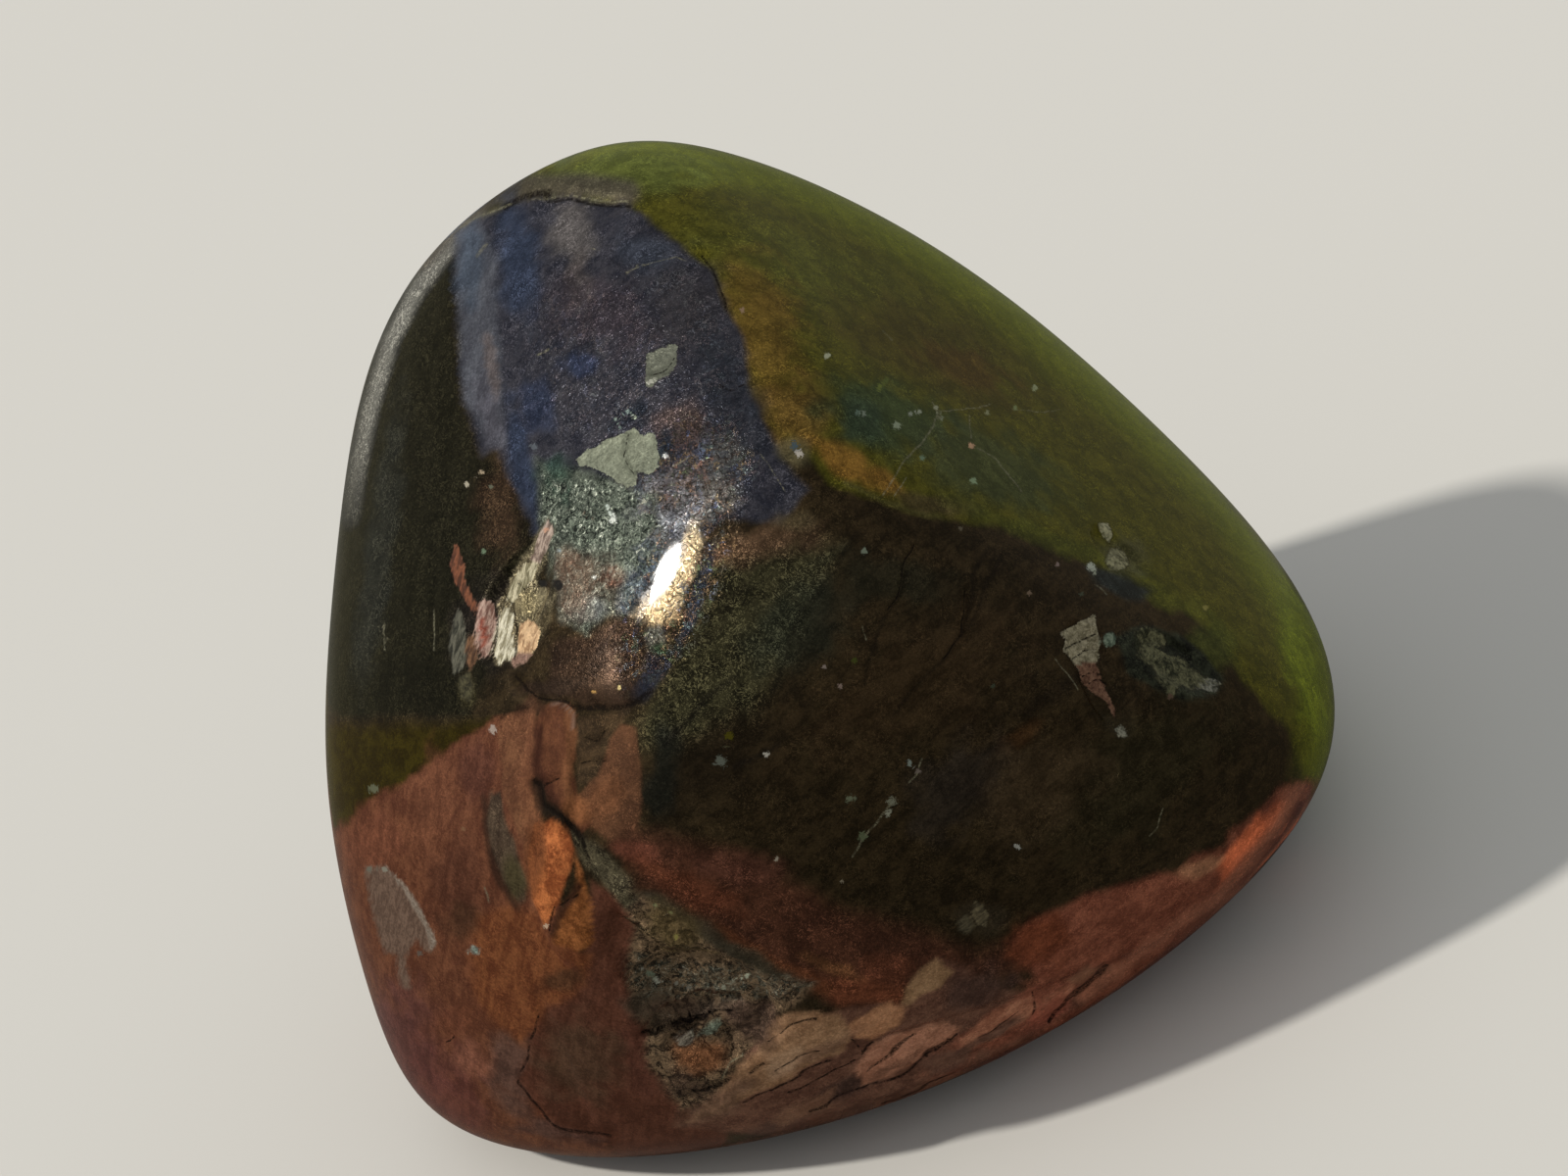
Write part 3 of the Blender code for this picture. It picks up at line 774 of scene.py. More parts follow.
# Specks: an offset from the nearest one and the distance from it, in its own radii, and its colour
NONE_NEAR = 9.0  # radii or half widths that stand for no speck or line nearby
SPECK_SHADE = 0.6  # times the colour that a speck shows, because the light brightens it
speck_offset = np.full((len(skin), 3), NONE_NEAR)
speck_film = np.zeros((len(skin), 3))
# The pale specks in a row across the pocket are painted glints.
SPECKS = (
    (476, 494, 3.4, 215, 205, 180), (491, 482, 2.8, 200, 180, 150), (501, 497, 2.4, 120, 120, 100),
    (494, 563, 2.6, 130, 150, 120), (557, 541, 3.0, 225, 175, 145), (628, 428, 2.4, 150, 165, 155),
    (640, 420, 2.6, 140, 155, 150), (633, 436, 2.0, 120, 135, 128), (648, 426, 2.2, 160, 170, 150),
    (625, 530, 4.0, 230, 235, 225), (619, 516, 2.4, 200, 210, 200), (622, 523, 2.2, 200, 210, 200),
    (657, 512, 3.0, 200, 200, 180), (679, 465, 3.6, 215, 215, 210), (606, 589, 2.6, 200, 200, 190),
    (571, 562, 2.8, 170, 180, 180), (632, 702, 2.8, 220, 200, 140), (606, 706, 2.6, 190, 150, 90),
    (503, 744, 4.6, 200, 180, 165), (381, 805, 5.0, 120, 122, 96), (557, 945, 3.0, 230, 200, 170),
    (473, 846, 2.6, 150, 110, 80), (376, 887, 4.0, 125, 120, 105), (393, 887, 3.6, 150, 145, 130),
    (428, 973, 3.4, 120, 105, 95), (844, 363, 3.2, 205, 205, 170), (915, 434, 4.4, 165, 175, 145),
    (898, 395, 4.0, 120, 128, 62), (904, 388, 3.4, 100, 108, 56), (874, 421, 3.0, 110, 128, 110),
    (881, 422, 2.8, 140, 150, 130), (929, 422, 2.8, 165, 170, 150), (938, 420, 2.6, 180, 185, 160),
    (955, 416, 2.8, 180, 180, 150), (961, 427, 2.4, 150, 155, 125), (1007, 421, 2.8, 170, 170, 130),
    (1036, 416, 2.8, 150, 160, 110), (1056, 396, 3.2, 190, 195, 150), (991, 455, 3.6, 235, 190, 150),
    (941, 467, 3.4, 130, 150, 120), (993, 491, 4.0, 160, 180, 140), (816, 464, 4.6, 225, 215, 200),
    (811, 455, 4.4, 90, 105, 110), (980, 539, 2.6, 110, 100, 80), (1230, 620, 3.0, 170, 160, 90),
    (1079, 577, 2.6, 150, 130, 120), (1050, 605, 2.8, 130, 110, 90), (1104, 606, 2.6, 80, 84, 66),
    (735, 777, 6.5, 104, 108, 96), (782, 769, 3.4, 200, 195, 180), (868, 815, 5.0, 120, 125, 100),
    (910, 818, 5.0, 135, 135, 115), (906, 831, 3.0, 165, 165, 145), (880, 853, 5.0, 104, 112, 84),
    (928, 779, 3.0, 140, 150, 140), (937, 788, 3.0, 130, 118, 108), (793, 876, 2.8, 190, 180, 160),
    (859, 899, 2.4, 150, 140, 120), (1038, 864, 3.2, 190, 190, 180), (841, 680, 2.8, 150, 135, 125),
    (857, 700, 3.0, 150, 130, 118), (872, 674, 3.6, 76, 82, 36), (744, 751, 5.0, 84, 78, 20),
    (882, 562, 3.0, 130, 140, 120), (1013, 700, 2.8, 70, 76, 60), (545, 456, 4.4, 110, 116, 122),
    (757, 317, 3.0, 170, 140, 110), (662, 391, 2.6, 190, 190, 175), (668, 387, 2.2, 180, 180, 165),
    (1113, 578, 4.4, 205, 210, 190), (1117, 585, 2.6, 180, 184, 160), (1194, 711, 3.4, 104, 84, 68),
    (665, 995, 4.0, 130, 140, 118), (672, 1002, 2.6, 200, 200, 180), (762, 997, 3.0, 200, 205, 180),
    (738, 1009, 2.8, 150, 150, 130), (690, 957, 3.0, 150, 140, 80), (657, 990, 2.6, 160, 155, 140),
    (690, 1004, 2.4, 150, 146, 130), (703, 1009, 3.0, 120, 116, 104), (748, 1002, 2.2, 150, 146, 126),
    (668, 925, 2.6, 130, 128, 90), (684, 932, 2.4, 130, 126, 84),
)
for across, down, radius, *shown in SPECKS:
    offset = (plane - (across, down)) / radius
    distance = np.hypot(*offset.T)
    nearer = distance < speck_offset[:, 2]
    speck_offset[nearer] = np.column_stack((offset, distance))[nearer]
    speck_film[nearer] = SPECK_SHADE * pigment(*shown)

# Dark cracks and pale scratches: the side and distance of the nearest line in its own half widths
cracks = np.full((len(skin), 2), NONE_NEAR)
scratches = np.full((len(skin), 2), NONE_NEAR)
groove = np.zeros(len(skin))
crack_places = plane + 3.5 * ragged


def draw(lines, places, half_width, line):
    """Adds a line, with its half width in steps, to the ones drawn. Returns how far the places are."""
    side, near = beside(line, places)
    nearer = near / half_width < lines[:, 1]
    lines[nearer] = np.column_stack((side, near))[nearer] / half_width
    return near


# Each crack has its half width in steps and its depth in mm before its line.
CRACKS = (
    (1.6, 0.05, (526, 690), (536, 704), (547, 712), (560, 713), (574, 715), (586, 723), (598, 722)),
    (3.5, 0.04, (590, 722), (611, 722), (632, 724), (650, 716), (662, 706)),
    (3.0, 0.10, (547, 800), (552, 823), (575, 838), (595, 857), (600, 878)),
    (1.2, 0.04, (590, 912), (567, 926), (560, 950)),
    (2.6, 0.30, (656, 1058), (672, 1050), (690, 1044), (707, 1036), (728, 1038)),
    (1.6, 0.14, (682, 1056), (700, 1050), (712, 1046), (728, 1038), (745, 1036)),
    (1.6, 0.14, (738, 1050), (747, 1066), (746, 1078)),
    (1.6, 0.03, (549, 1033), (546, 1046), (541, 1069), (533, 1092), (528, 1106), (541, 1122),
     (556, 1141), (569, 1151), (599, 1157), (624, 1160)),
    (1.0, 0.0, (930, 556), (915, 609), (905, 622)), (1.0, 0.0, (985, 600), (982, 652), (965, 670)),
    (2.4, 0.06, (1129, 988), (1121, 997), (1112, 1004), (1090, 1022), (1072, 1042)),
    (1.4, 0.06, (975, 1056), (960, 1070), (930, 1092), (900, 1106), (870, 1112)),
    (2.2, 0.08, (949, 1078), (958, 1070), (966, 1064)),
    (1.1, 0.04, (800, 1118), (830, 1104), (856, 1092), (872, 1082)),
    (1.1, 0.04, (782, 1062), (800, 1052), (820, 1043), (832, 1040)),
    (1.4, 0.05, (888, 1092), (912, 1070), (934, 1056)),
    (1.2, 0.04, (868, 1060), (880, 1074), (892, 1066)),
    (1.2, 0.05, (1054, 1034), (1058, 1022), (1053, 1014)),
    (1.2, 0.05, (462, 1058), (450, 1066), (445, 1072)), (1.2, 0.04, (546, 796), (558, 799), (568, 795)),
    (1.0, 0.03, (597, 752), (608, 756), (616, 746)), (1.0, 0.03, (592, 778), (604, 776), (616, 777)),
    (1.6, 0.0, (560, 206), (585, 206), (610, 208), (642, 211)),
    (4.0, 0.0, (519, 208), (530, 202), (546, 197), (556, 196)),
    (1.4, 0.04, (718, 260), (727, 280), (739, 300), (741, 314)),
    (1.0, 0.03, (760, 392), (748, 398), (735, 392)), (1.0, 0.04, (514, 606), (524, 618), (527, 634)),
    (0.9, 0.03, (528, 594), (538, 606), (541, 620)), (1.2, 0.06, (526, 636), (527, 655), (524, 672)),
    (1.4, 0.05, (505, 626), (507, 645), (502, 668)),
    (0.9, 0.02, (664, 381), (674, 379), (683, 373), (689, 367)),
    (0.8, 0.02, (640, 446), (636, 466), (645, 482)), (1.0, 0.03, (1090, 660), (1104, 652), (1120, 648)),
    (1.0, 0.03, (1096, 672), (1108, 662), (1120, 662)),
    (0.9, 0.02, (1104, 692), (1114, 686), (1122, 688)),
    (0.9, 0.02, (1110, 700), (1120, 694), (1128, 698)), (2.0, 0.03, (765, 1095), (777, 1088)),
    (2.2, 0.03, (831, 1133), (841, 1129)), (2.0, 0.06, (708, 1118), (728, 1112), (742, 1104)),
    (1.2, 0.03, (760, 1126), (790, 1112), (822, 1094), (846, 1084)),
    (1.0, 0.03, (836, 1132), (862, 1116), (892, 1106)),
    (1.0, 0.03, (900, 1128), (940, 1112), (975, 1094)),
    (0.8, 0.02, (884, 1096), (904, 1080), (926, 1058)),
    (0.8, 0.02, (1000, 1058), (1022, 1046), (1040, 1032)),
    (0.8, 0.02, (790, 1096), (812, 1080), (836, 1072)),
)
for half_width, depth, *line in CRACKS:
    near = draw(cracks, crack_places, half_width, line)
    groove = np.maximum(groove, seen * depth * smooth(1 - near / (half_width * 2 + 3)))

SCRATCHES = (
    (1.4, (957, 427), (942, 450), (924, 470), (901, 503)), (1.0, (961, 420), (985, 417), (1012, 413)),
    (1.0, (989, 423), (990, 446)), (1.0, (996, 457), (1017, 469), (1030, 484), (1040, 500)),
    (0.9, (1033, 418), (1056, 420), (1079, 419)), (1.0, (953, 412), (961, 428)),
    (1.0, (912, 504), (918, 498), (925, 488)), (1.6, (472, 231), (500, 216), (520, 208)),
    (1.6, (545, 203), (575, 201), (603, 203), (640, 206)), (1.2, (903, 337), (910, 345)),
    (1.0, (1187, 824), (1181, 844), (1174, 852)), (1.4, (910, 820), (896, 838), (878, 858), (871, 872)),
    (1.2, (942, 776), (937, 790), (928, 798)), (1.0, (442, 624), (442, 662)),
    (1.2, (392, 636), (394, 664)), (1.0, (386, 640), (396, 650)), (1.3, (549, 361), (558, 355)),
    (1.2, (641, 278), (650, 270)), (1.0, (599, 251), (610, 254)), (2.2, (488, 260), (495, 251)),
    (1.2, (688, 476), (702, 468)), (1.4, (494, 906), (499, 920)), (1.0, (1120, 600), (1128, 608)),
    (1.2, (1226, 704), (1238, 696), (1244, 698)), (1.0, (1078, 672), (1090, 690), (1100, 704)),
    (1.2, (736, 1104), (745, 1086), (757, 1078)), (1.0, (640, 276), (690, 262), (700, 266)),
    (1.0, (775, 463), (790, 485), (800, 500)), (1.0, (880, 640), (884, 652)),
    (1.0, (726, 1078), (722, 1094)),
)
for half_width, *line in SCRATCHES:
    draw(scratches, wobble, half_width, line)

hidden = seen < 0.5
piece_edge[hidden] = -1
for drawn in (speck_offset, cracks, scratches):
    drawn[hidden] = NONE_NEAR

# Areas of rough ground, pale sparkle, rainbow film and high gloss
SPECKLE = [
    (552, 482), (566, 490), (592, 490), (620, 494), (642, 500), (668, 505), (674, 540), (656, 580),
    (640, 612), (612, 625), (600, 648), (572, 628), (565, 600), (558, 560), (550, 530)
]
SPECKLE_FOOT = [(572, 552), (610, 556), (640, 574), (654, 600), (640, 640), (560, 660), (552, 590)]
GLINT_BAND = [(640, 975), (700, 985), (800, 995), (832, 1004), (800, 1022), (700, 1018), (645, 1020)]
COPPER = [
    (540, 716), (570, 708), (600, 722), (655, 726), (668, 850), (600, 980), (540, 960), (530, 850)
]
RAINBOW = [
    (640, 490), (690, 430), (740, 430), (765, 470), (745, 540), (725, 600), (700, 650), (670, 690),
    (640, 700), (632, 660), (645, 600), (660, 540)
]
GLINT_CORE = [
    (684, 552), (690, 549), (693, 560), (688, 580), (680, 604), (672, 624), (663, 620), (668, 596),
    (675, 570)
]
BLUE_LOWER = [
    (540, 300), (620, 280), (700, 270), (755, 350), (770, 440), (720, 480), (600, 450), (540, 420)
]
rough = area(POCKET, 0.35, 0.6)
sparkle = area(SPECKLE, 0.3, 0.6) * (1 - 0.6 * area(SPECKLE_FOOT, 0.4, 0.5))
# The band across the pocket adds painted glints to the sparkle.
sparkle = np.maximum(sparkle, 0.35 * area(GLINT_BAND, 0.3, 0.5))
rainbow = np.maximum(area(RAINBOW, 0.9, 0.6), 0.2 * area(BLUE_LOWER, 1.5, 0.5))
gloss = area(GLINT_CORE, 0.15, 0.6, wobble)
matt_share = np.maximum(smooth((NONE_NEAR - cracks[:, 1]) / 6), 0.85 * area(COPPER, 0.3, 0.5))
areas = np.column_stack((rough, sparkle, rainbow)) * seen[:, None]

# The facet that the glint lies on, and the crumbled ground
mound(-0.03, (678, 596), (34, 100), 17)
POCKET_ROUGH = 0.20  # mm
SPECKLE_ROUGH = 0.03
crumble = np.abs(waves(skin + 300, 0.55)) + 0.5 * np.abs(waves(skin + 340, 0.22))
sink = groove - raised + seen * crumble * (rough * POCKET_ROUGH + sparkle * SPECKLE_ROUGH)
skin -= normals * sink[:, None]
skin[:, 2] = np.maximum(skin[:, 2], 0)

MM = 0.001
mesh = bpy.data.meshes.new("peacock_ore_stone")
mesh.vertices.add(len(skin))
mesh.loops.add(squares.size)
mesh.polygons.add(len(squares))
mesh.vertices.foreach_set("co", (skin * MM).ravel())
mesh.loops.foreach_set("vertex_index", squares.ravel().astype(np.int32))
mesh.polygons.foreach_set("loop_start", np.arange(0, squares.size, 4, dtype=np.int32))
mesh.update(calc_edges=True)
mesh.validate()
mesh.shade_smooth()
in_piece = (piece_edge > -0.03)[:, None]
grain_share = np.where(in_piece, pieces[:, 6:9], film[:, 6:9])
for name, values in {
    "film": film[:, :3],
    "film_two": film[:, 3:6],
    "piece": pieces[:, :3],
    "piece_two": pieces[:, 3:6],
    "speck": speck_film,
}.items():
    layer = mesh.color_attributes.new(name, "FLOAT_COLOR", "POINT")
    layer.data.foreach_set("color", np.column_stack((values, np.ones(len(values)))).ravel())
for name, values in {
    "grain_share": grain_share,
    "piece_kind": pieces[:, 9:12],
    "speck_offset": speck_offset,
    "crack": np.column_stack((cracks, matt_share)),
    "scratch": np.column_stack((scratches, gloss)),
    "areas": areas,
}.items():
    layer = mesh.attributes.new(name, "FLOAT_VECTOR", "POINT")
    layer.data.foreach_set("vector", values.ravel())
for name, values in {"flecks": film[:, 9], "piece_edge": piece_edge}.items():
    layer = mesh.attributes.new(name, "FLOAT", "POINT")
    layer.data.foreach_set("value", values)
stone = bpy.data.objects.new("peacock_ore_stone", mesh)
bpy.context.scene.collection.objects.link(stone)

polish = bpy.data.materials.new("polished_bornite")
polish.use_nodes = True
nodes = polish.node_tree.nodes
links = polish.node_tree.links
shader = nodes["Principled BSDF"]


def node(kind, label, **settings):
    made = nodes.new(kind)
    made.label = label
    for name, value in settings.items():
        setattr(made, name, value)
    return made


class Signal:
    """A node's output. Each sign between signals, or between one and a number, adds a math node."""

    def __init__(self, socket):
        self.socket = socket

    def __add__(self, other):
        return math_node("ADD", self, other)

    def __sub__(self, other):
        return math_node("SUBTRACT", self, other)

    def __mul__(self, other):
        return math_node("MULTIPLY", self, other)

    def __radd__(self, other):
        return math_node("ADD", other, self)

    def __rsub__(self, other):
        return math_node("SUBTRACT", other, self)

    def __abs__(self):
        return math_node("ABSOLUTE", self)


def feed(socket, source):
    """Sets a socket to a number or colour, or links it to a signal."""
    if isinstance(source, Signal):
        links.new(source.socket, socket)
    else:
        socket.default_value = source


def math_node(operation, *sources, clamp=False):
    made = node("ShaderNodeMath", operation.lower(), operation=operation, use_clamp=clamp)
    for socket, source in zip(made.inputs, sources):
        feed(socket, source)
    return Signal(made.outputs[0])


def reading(name, output="Color"):
    return Signal(node("ShaderNodeAttribute", name, attribute_name=name).outputs[output])


def parts_of(vector):
    made = node("ShaderNodeSeparateXYZ", "parts")
    feed(made.inputs[0], vector)
    return [Signal(socket) for socket in made.outputs]


def ramp(source, low, high, bottom=0.0, top=1.0):
    """Rises smoothly from bottom, where the source is low, to top, where it is high."""
    made = node("ShaderNodeMapRange", "ramp", interpolation_type="SMOOTHSTEP")
    for socket, value in zip(made.inputs, (source, low, high, bottom, top)):
        feed(socket, value)
    return Signal(made.outputs[0])


def blend(share, under, over, how="MIX"):
    made = node("ShaderNodeMix", how.lower(), data_type="RGBA", blend_type=how)
    feed(made.inputs[0], share)
    feed(made.inputs[6], under)
    feed(made.inputs[7], over)
    return Signal(made.outputs[2])


def grey(value):
    return (value, value, value, 1)


def tint(*shown):
    return (*pigment(*shown), 1)


def scaled(label, vector, scale):
    made = node("ShaderNodeVectorMath", label, operation="SCALE")
    feed(made.inputs[0], vector)
    feed(made.inputs["Scale"], scale)
    return Signal(made.outputs[0])


place_mm = scaled("in mm", Signal(node("ShaderNodeTexCoord", "place").outputs["Object"]), 1 / MM)


def cloudy(label, per_mm, detail=2.0, roughness=0.5, distortion=0.0, place=place_mm):
    made = node("ShaderNodeTexNoise", label)
    feed(made.inputs["Vector"], place)
    feed(made.inputs["Scale"], per_mm)
    feed(made.inputs["Detail"], detail)
    feed(made.inputs["Roughness"], roughness)
    feed(made.inputs["Distortion"], distortion)
    return Signal(made.outputs[0])


def cells(label, per_mm):
    """Patches that each have a colour of their own."""
    made = node("ShaderNodeTexVoronoi", label)
    feed(made.inputs["Vector"], place_mm)
    feed(made.inputs["Scale"], per_mm)
    return Signal(made.outputs["Color"])


def streaks(label, angle, along_per_mm, across_per_mm):
    """Noise drawn out along a direction on the drawing plane, given in degrees from its right."""
    turned = math.radians(angle)
    along = plane_right * math.cos(turned) + plane_up * math.sin(turned)
    across = plane_up * math.cos(turned) - plane_right * math.sin(turned)
    mapping = node("ShaderNodeMapping", label, vector_type="TEXTURE")
    feed(mapping.inputs["Vector"], place_mm)
    feed(mapping.inputs["Rotation"], Matrix((along, across, to_eye)).transposed().to_euler())
    feed(mapping.inputs["Scale"], (1 / along_per_mm, 1 / across_per_mm, 1 / along_per_mm))
    return cloudy(label, 1.0, 3, 0.65, 0.4, Signal(mapping.outputs[0]))


# Noises that the layers below share
mottle = cloudy("mottling", 1.6, 5, 0.66, 0.5)
curls = cloudy("curls", 5.5, 3, 0.6, 2.2)
grain = cloudy("fine grain", 13.0, 2, 0.6, 0.6)
crumbs = cloudy("crumbs", 7.0, 4, 0.75, 1.2)
lumps = cloudy("rubble", 3.6, 4, 0.64, 1.0)
steep, rising, _ = parts_of(reading("grain_share", "Vector"))
streaky = blend(steep, mottle, streaks("steep streaks", 80, 0.7, 4.0))
streaky = blend(rising, streaky, streaks("rising streaks", 38, 0.9, 3.6))
splinters = blend(steep, blend(0.5, crumbs, lumps), streaks("steep splinters", 74, 2.2, 10.0))
splinters = blend(rising, splinters, streaks("rising splinters", 34, 2.0, 8.0))
streak_weight = 0.3 + steep * 0.06
pattern = streaky * streak_weight + mottle * (0.78 - streak_weight) + curls * 0.22

# Tarnish: two tones, mottled and streaked, with a fine grain
rough_share, sparkle_share, rainbow_share = parts_of(reading("areas", "Vector"))
two_tone = blend(rough_share, ramp(pattern, 0.42, 0.6), ramp(lumps, 0.42, 0.58))
colour = blend(two_tone, reading("film"), reading("film_two"))
grain_tone = blend(ramp(grain, 0.32, 0.68), grey(0.82), grey(1.16))
colour = blend(1.0, colour, grain_tone, "MULTIPLY")

# Bright flecks: short rubbing marks, from patches that each turn a fine wave their own way, and curled
# ones. Where the film is a rainbow, around the glint, they are gold, rose, green and blue, between dark
# squiggles, and there they are partly painted glints of the lamp in fine scratches.
turn = node("ShaderNodeVectorRotate", "turn each patch", rotation_type="EULER_XYZ")
feed(turn.inputs["Vector"], place_mm)
feed(turn.inputs["Rotation"], scaled("patch angles", cells("rubbing patches", 3.0), 6.28))
stretch = node("ShaderNodeVectorMath", "stretch the marks", operation="MULTIPLY")
feed(stretch.inputs[0], Signal(turn.outputs[0]))
feed(stretch.inputs[1], (4.5, 15.0, 15.0))
marks = cloudy("rubbing marks", 1.0, 1, 0.5, 1.4, Signal(stretch.outputs[0]))
fleck_spread = ramp(cloudy("fleck spread", 1.1, 3, 0.65), 0.42, 0.62, 0.25, 1.0)
curl_line = abs(cloudy("curled marks", 6.0, 1, 0.5, 2.6) - 0.5)
curled = ramp(curl_line, 0.06, 0.02) * ramp(crumbs, 0.49, 0.56)
fleck_share = math_node("MAXIMUM", ramp(marks, 0.6, 0.66), curled)
fleck_share = fleck_share * fleck_spread * reading("flecks", "Fac")
hue = node("ShaderNodeValToRGB", "fleck colour")
hue.color_ramp.elements[0].position = 0.15
hue.color_ramp.elements[0].color = tint(150, 128, 84)
hue.color_ramp.elements[1].position = 0.85
hue.color_ramp.elements[1].color = tint(92, 104, 142)
for place, shown in ((0.4, (138, 98, 84)), (0.6, (98, 118, 82))):
    hue.color_ramp.elements.new(place).color = tint(*shown)
feed(hue.inputs[0], cells("rainbow patches", 5.0))
scratch_across, scratch_off, gloss_share = parts_of(reading("scratch", "Vector"))
squiggle = ramp(abs(cloudy("squiggles", 2.6, 0, 0.5, 2.4) - 0.5), 0.09, 0.03)
squiggle = squiggle * math_node("SUBTRACT", rainbow_share, gloss_share, clamp=True)
colour = blend(squiggle * 0.75, colour, tint(30, 24, 20))
bright_film = blend(1.0, reading("film_two"), grey(3.6), "MULTIPLY")
fleck_film = blend(rainbow_share, bright_film, Signal(hue.outputs[0]))
colour = blend(fleck_share * 0.85, colour, fleck_film)

# Sparkle: crumbs of green, black and white
crumb_film = blend(ramp(crumbs, 0.42, 0.54), tint(20, 23, 20), tint(84, 91, 80))
crumb_film = blend(ramp(crumbs, 0.58, 0.65), crumb_film, tint(186, 190, 174))
colour = blend(sparkle_share * ramp(mottle, 0.38, 0.54, 0.2, 1.0), colour, crumb_film)
# Pale crumbs in the pocket are painted glints.
crumb_glint = rough_share * ramp(crumbs, 0.66, 0.73)
colour = blend(crumb_glint * 0.7, colour, tint(138, 132, 116))

# Grown-in pieces, splintered along their grain and edged by a dark seam
piece_metal, piece_softness, seam_dark = parts_of(reading("piece_kind", "Vector"))
fray = (splinters - 0.5) * ramp(piece_metal, 0.0, 0.3, 0.22, 0.3)
edge_in = reading("piece_edge", "Fac") + fray
piece_share = ramp(edge_in, piece_softness * -1.0, piece_softness)
seam_share = ramp(abs(edge_in + 0.02), 0.06, 0.0) * seam_dark * ramp(mottle, 0.4, 0.55)
piece_film = blend(ramp(splinters, 0.4, 0.6), reading("piece"), reading("piece_two"))
piece_grain = blend(ramp(grain, 0.3, 0.7), grey(0.8), grey(1.2))
piece_film = blend(1.0, piece_film, piece_grain, "MULTIPLY")
colour = blend(piece_share, colour, piece_film)
colour = blend(seam_share, colour, tint(22, 17, 13))

# Cracks, scratches and specks
crack_across, crack_off, dulled = parts_of(reading("crack", "Vector"))
crack_share = ramp(abs(crack_across), 1.3, 0.4) * ramp(crack_off, 2.2, 1.4)
crack_share = crack_share * ramp(curls, 0.38, 0.56, 0.25, 0.9)
colour = blend(crack_share, colour, tint(14, 10, 8))
scratch_share = ramp(abs(scratch_across), 1.2, 0.2) * ramp(scratch_off, 2.5, 1.2)
scratch_share = scratch_share * ramp(crumbs, 0.42, 0.62, 0.1, 0.65)
colour = blend(scratch_share, colour, tint(132, 128, 104))
speck_right, speck_down, speck_off = parts_of(reading("speck_offset", "Vector"))
from_speck = math_node("SQRT", speck_right * speck_right + speck_down * speck_down)
from_speck = from_speck + (crumbs - 0.5) * 4.0
speck_share = ramp(from_speck, 1.0, 0.6) * ramp(speck_off, 2.4, 1.8)
colour = blend(speck_share, colour, reading("speck"))
feed(shader.inputs["Base Color"], colour)

metal = node("ShaderNodeMix", "metal share")
feed(metal.inputs[0], piece_share)
feed(metal.inputs[2], 0.45 - rough_share * 0.35)
feed(metal.inputs[3], piece_metal)
feed(shader.inputs["Metallic"], Signal(metal.outputs[0]))
worn = math_node("MAXIMUM", rough_share, dulled)
dull = 0.24 + worn * 0.45 + piece_share * 0.15 - rainbow_share * 0.08 + (grain - 0.5) * 0.2
feed(shader.inputs["Roughness"], dull)
coat = (0.01 + gloss_share * 0.2) * (1.0 - squiggle * 0.9)
coat = coat * ramp(math_node("MAXIMUM", worn, piece_share * 0.6), 0.0, 1.0, 1.0, 0.0)
feed(shader.inputs["Coat Weight"], coat)
shader.inputs["Coat Roughness"].default_value = 0.06
shader.inputs["IOR"].default_value = 1.2
film_hue = node("ShaderNodeVectorMath", "hue of the film", operation="NORMALIZE")
feed(film_hue.inputs[0], colour)
feed(shader.inputs["Specular Tint"], blend(0.25, Signal(film_hue.outputs[0]), grey(1.0)))

# Fine relief. A height of 1 is a hundredth of a millimetre.
height = marks * (0.3 + rainbow_share * 0.6)
height = height + curl_line * (0.8 + rainbow_share * 4.0)
height = height + grain * (0.3 + rainbow_share * 0.5)
height = height - crack_share * 1.2 - scratch_share * 0.4
height = height + crumbs * (rough_share * 4.0 + sparkle_share * 2.0)
height = height + lumps * (rough_share * 12.0)
height = height + piece_share * ramp(piece_metal, 0.0, 0.3, 1.6, 0.5) * splinters
relief = node("ShaderNodeBump", "relief")
relief.inputs["Strength"].default_value = 1.0
relief.inputs["Distance"].default_value = 0.01 * MM
feed(relief.inputs["Height"], height)
feed(shader.inputs["Normal"], Signal(relief.outputs[0]))
mesh.materials.append(polish)

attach(stone, "root")
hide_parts("peacock_ore")

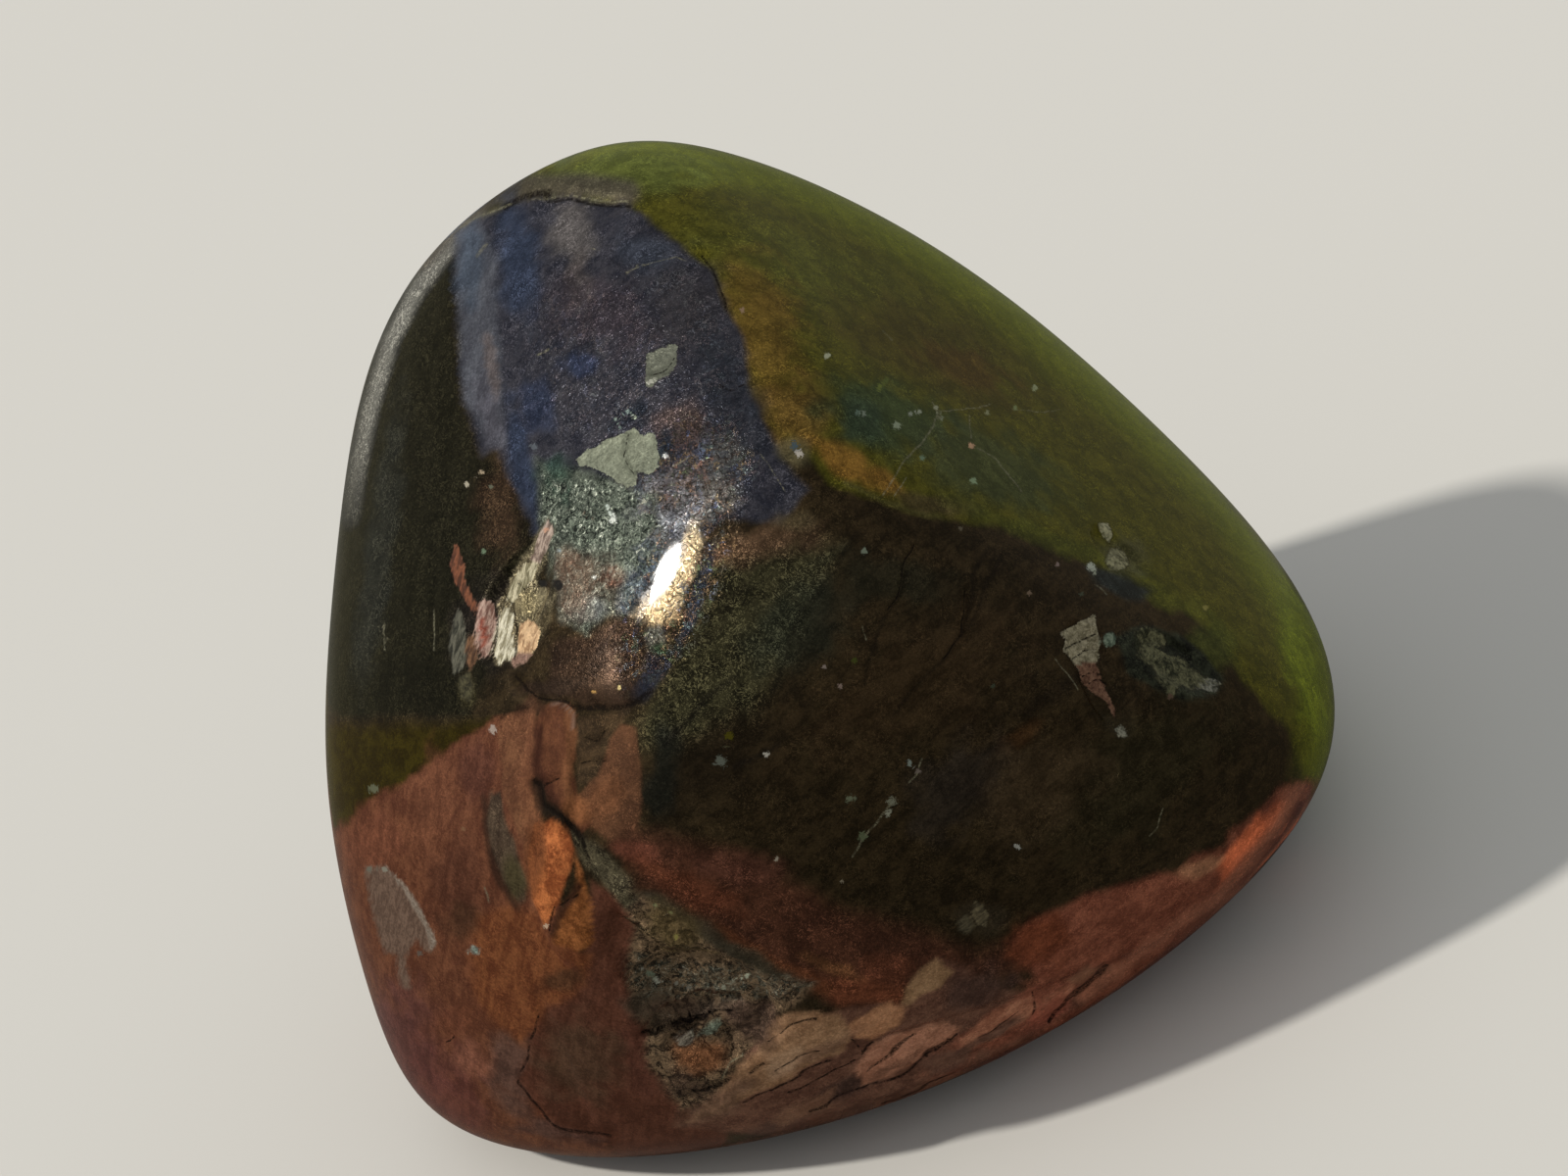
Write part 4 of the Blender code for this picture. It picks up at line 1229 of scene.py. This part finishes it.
# Floor
# A plain pale matt table top, a single flat sheet that the stone stands on.
# The stone mirrors it darker than it looks.
TABLE_HALF = 1.5  # m
ends = ((-1, -1), (1, -1), (1, 1), (-1, 1))
floor_mesh = bpy.data.meshes.new("floor")
floor_mesh.from_pydata([(x * TABLE_HALF, y * TABLE_HALF, 0) for x, y in ends], [], [(0, 1, 2, 3)])
floor = bpy.data.objects.new("floor", floor_mesh)
bpy.context.scene.collection.objects.link(floor)
table_top = bpy.data.materials.new("pale_table")
table_top.use_nodes = True
nodes = table_top.node_tree.nodes
links = table_top.node_tree.links
matt = nodes["Principled BSDF"]
matt.inputs["Roughness"].default_value = 0.8
mirrored = Signal(node("ShaderNodeLightPath", "kind of ray").outputs["Is Glossy Ray"])
feed(matt.inputs["Base Color"], blend(mirrored, tint(205, 203, 196), tint(120, 120, 114)))
floor_mesh.materials.append(table_top)

# Light
# A soft sky all around, and one small bright lamp to the left.
# The lamp is turned so that the stone's ridge mirrors it to the eye, which is the white glint.
world = bpy.data.worlds.new("studio")
bpy.context.scene.world = world
world.use_nodes = True
sky = world.node_tree.nodes["Background"]
sky.inputs["Color"].default_value = (0.9, 0.92, 0.95, 1)
sky.inputs["Strength"].default_value = 0.55

GLINT = (676, 592)  # its middle on the drawing plane
lamp_data = bpy.data.lights.new("lamp", "SUN")
lamp_data.energy = 2.6
lamp_data.angle = math.radians(3.5)
lamp_data.color = (1.0, 0.96, 0.9)
lamp = bpy.data.objects.new("lamp", lamp_data)
bpy.context.scene.collection.objects.link(lamp)
glint_at = np.argmin(np.where(facing < 0, np.inf, np.hypot(*(plane - GLINT).T)))
glint_normal = normals[glint_at]
glint_sight = unit(eye - skin[glint_at])
to_lamp = 2 * (glint_normal @ glint_sight) * glint_normal - glint_sight
lamp.rotation_euler = Vector(to_lamp).to_track_quat("Z", "Y").to_euler()

# Camera
# It looks down at the stone from the eye that its markings are drawn for, with the same roll.
# The picture is the drawing plane, and one step on that plane is one of its 1600 pixels across.
SENSOR_WIDTH = 36  # mm
PICTURE_WIDTH = 2 * PLANE_CENTRE[0]
camera_data = bpy.data.cameras.new("camera")
camera_data.sensor_width = SENSOR_WIDTH
camera_data.lens = SENSOR_WIDTH * STEPS_PER_MM * EYE_DISTANCE / PICTURE_WIDTH
camera_data.clip_start = 5 * MM
camera = bpy.data.objects.new("camera", camera_data)
bpy.context.scene.collection.objects.link(camera)
turned = np.column_stack((plane_right, plane_up, to_eye))
camera.matrix_world = Matrix.Translation(Vector(eye * MM)) @ Matrix(turned.tolist()).to_4x4()
bpy.context.scene.camera = camera
bpy.context.scene.view_settings.view_transform = "Standard"
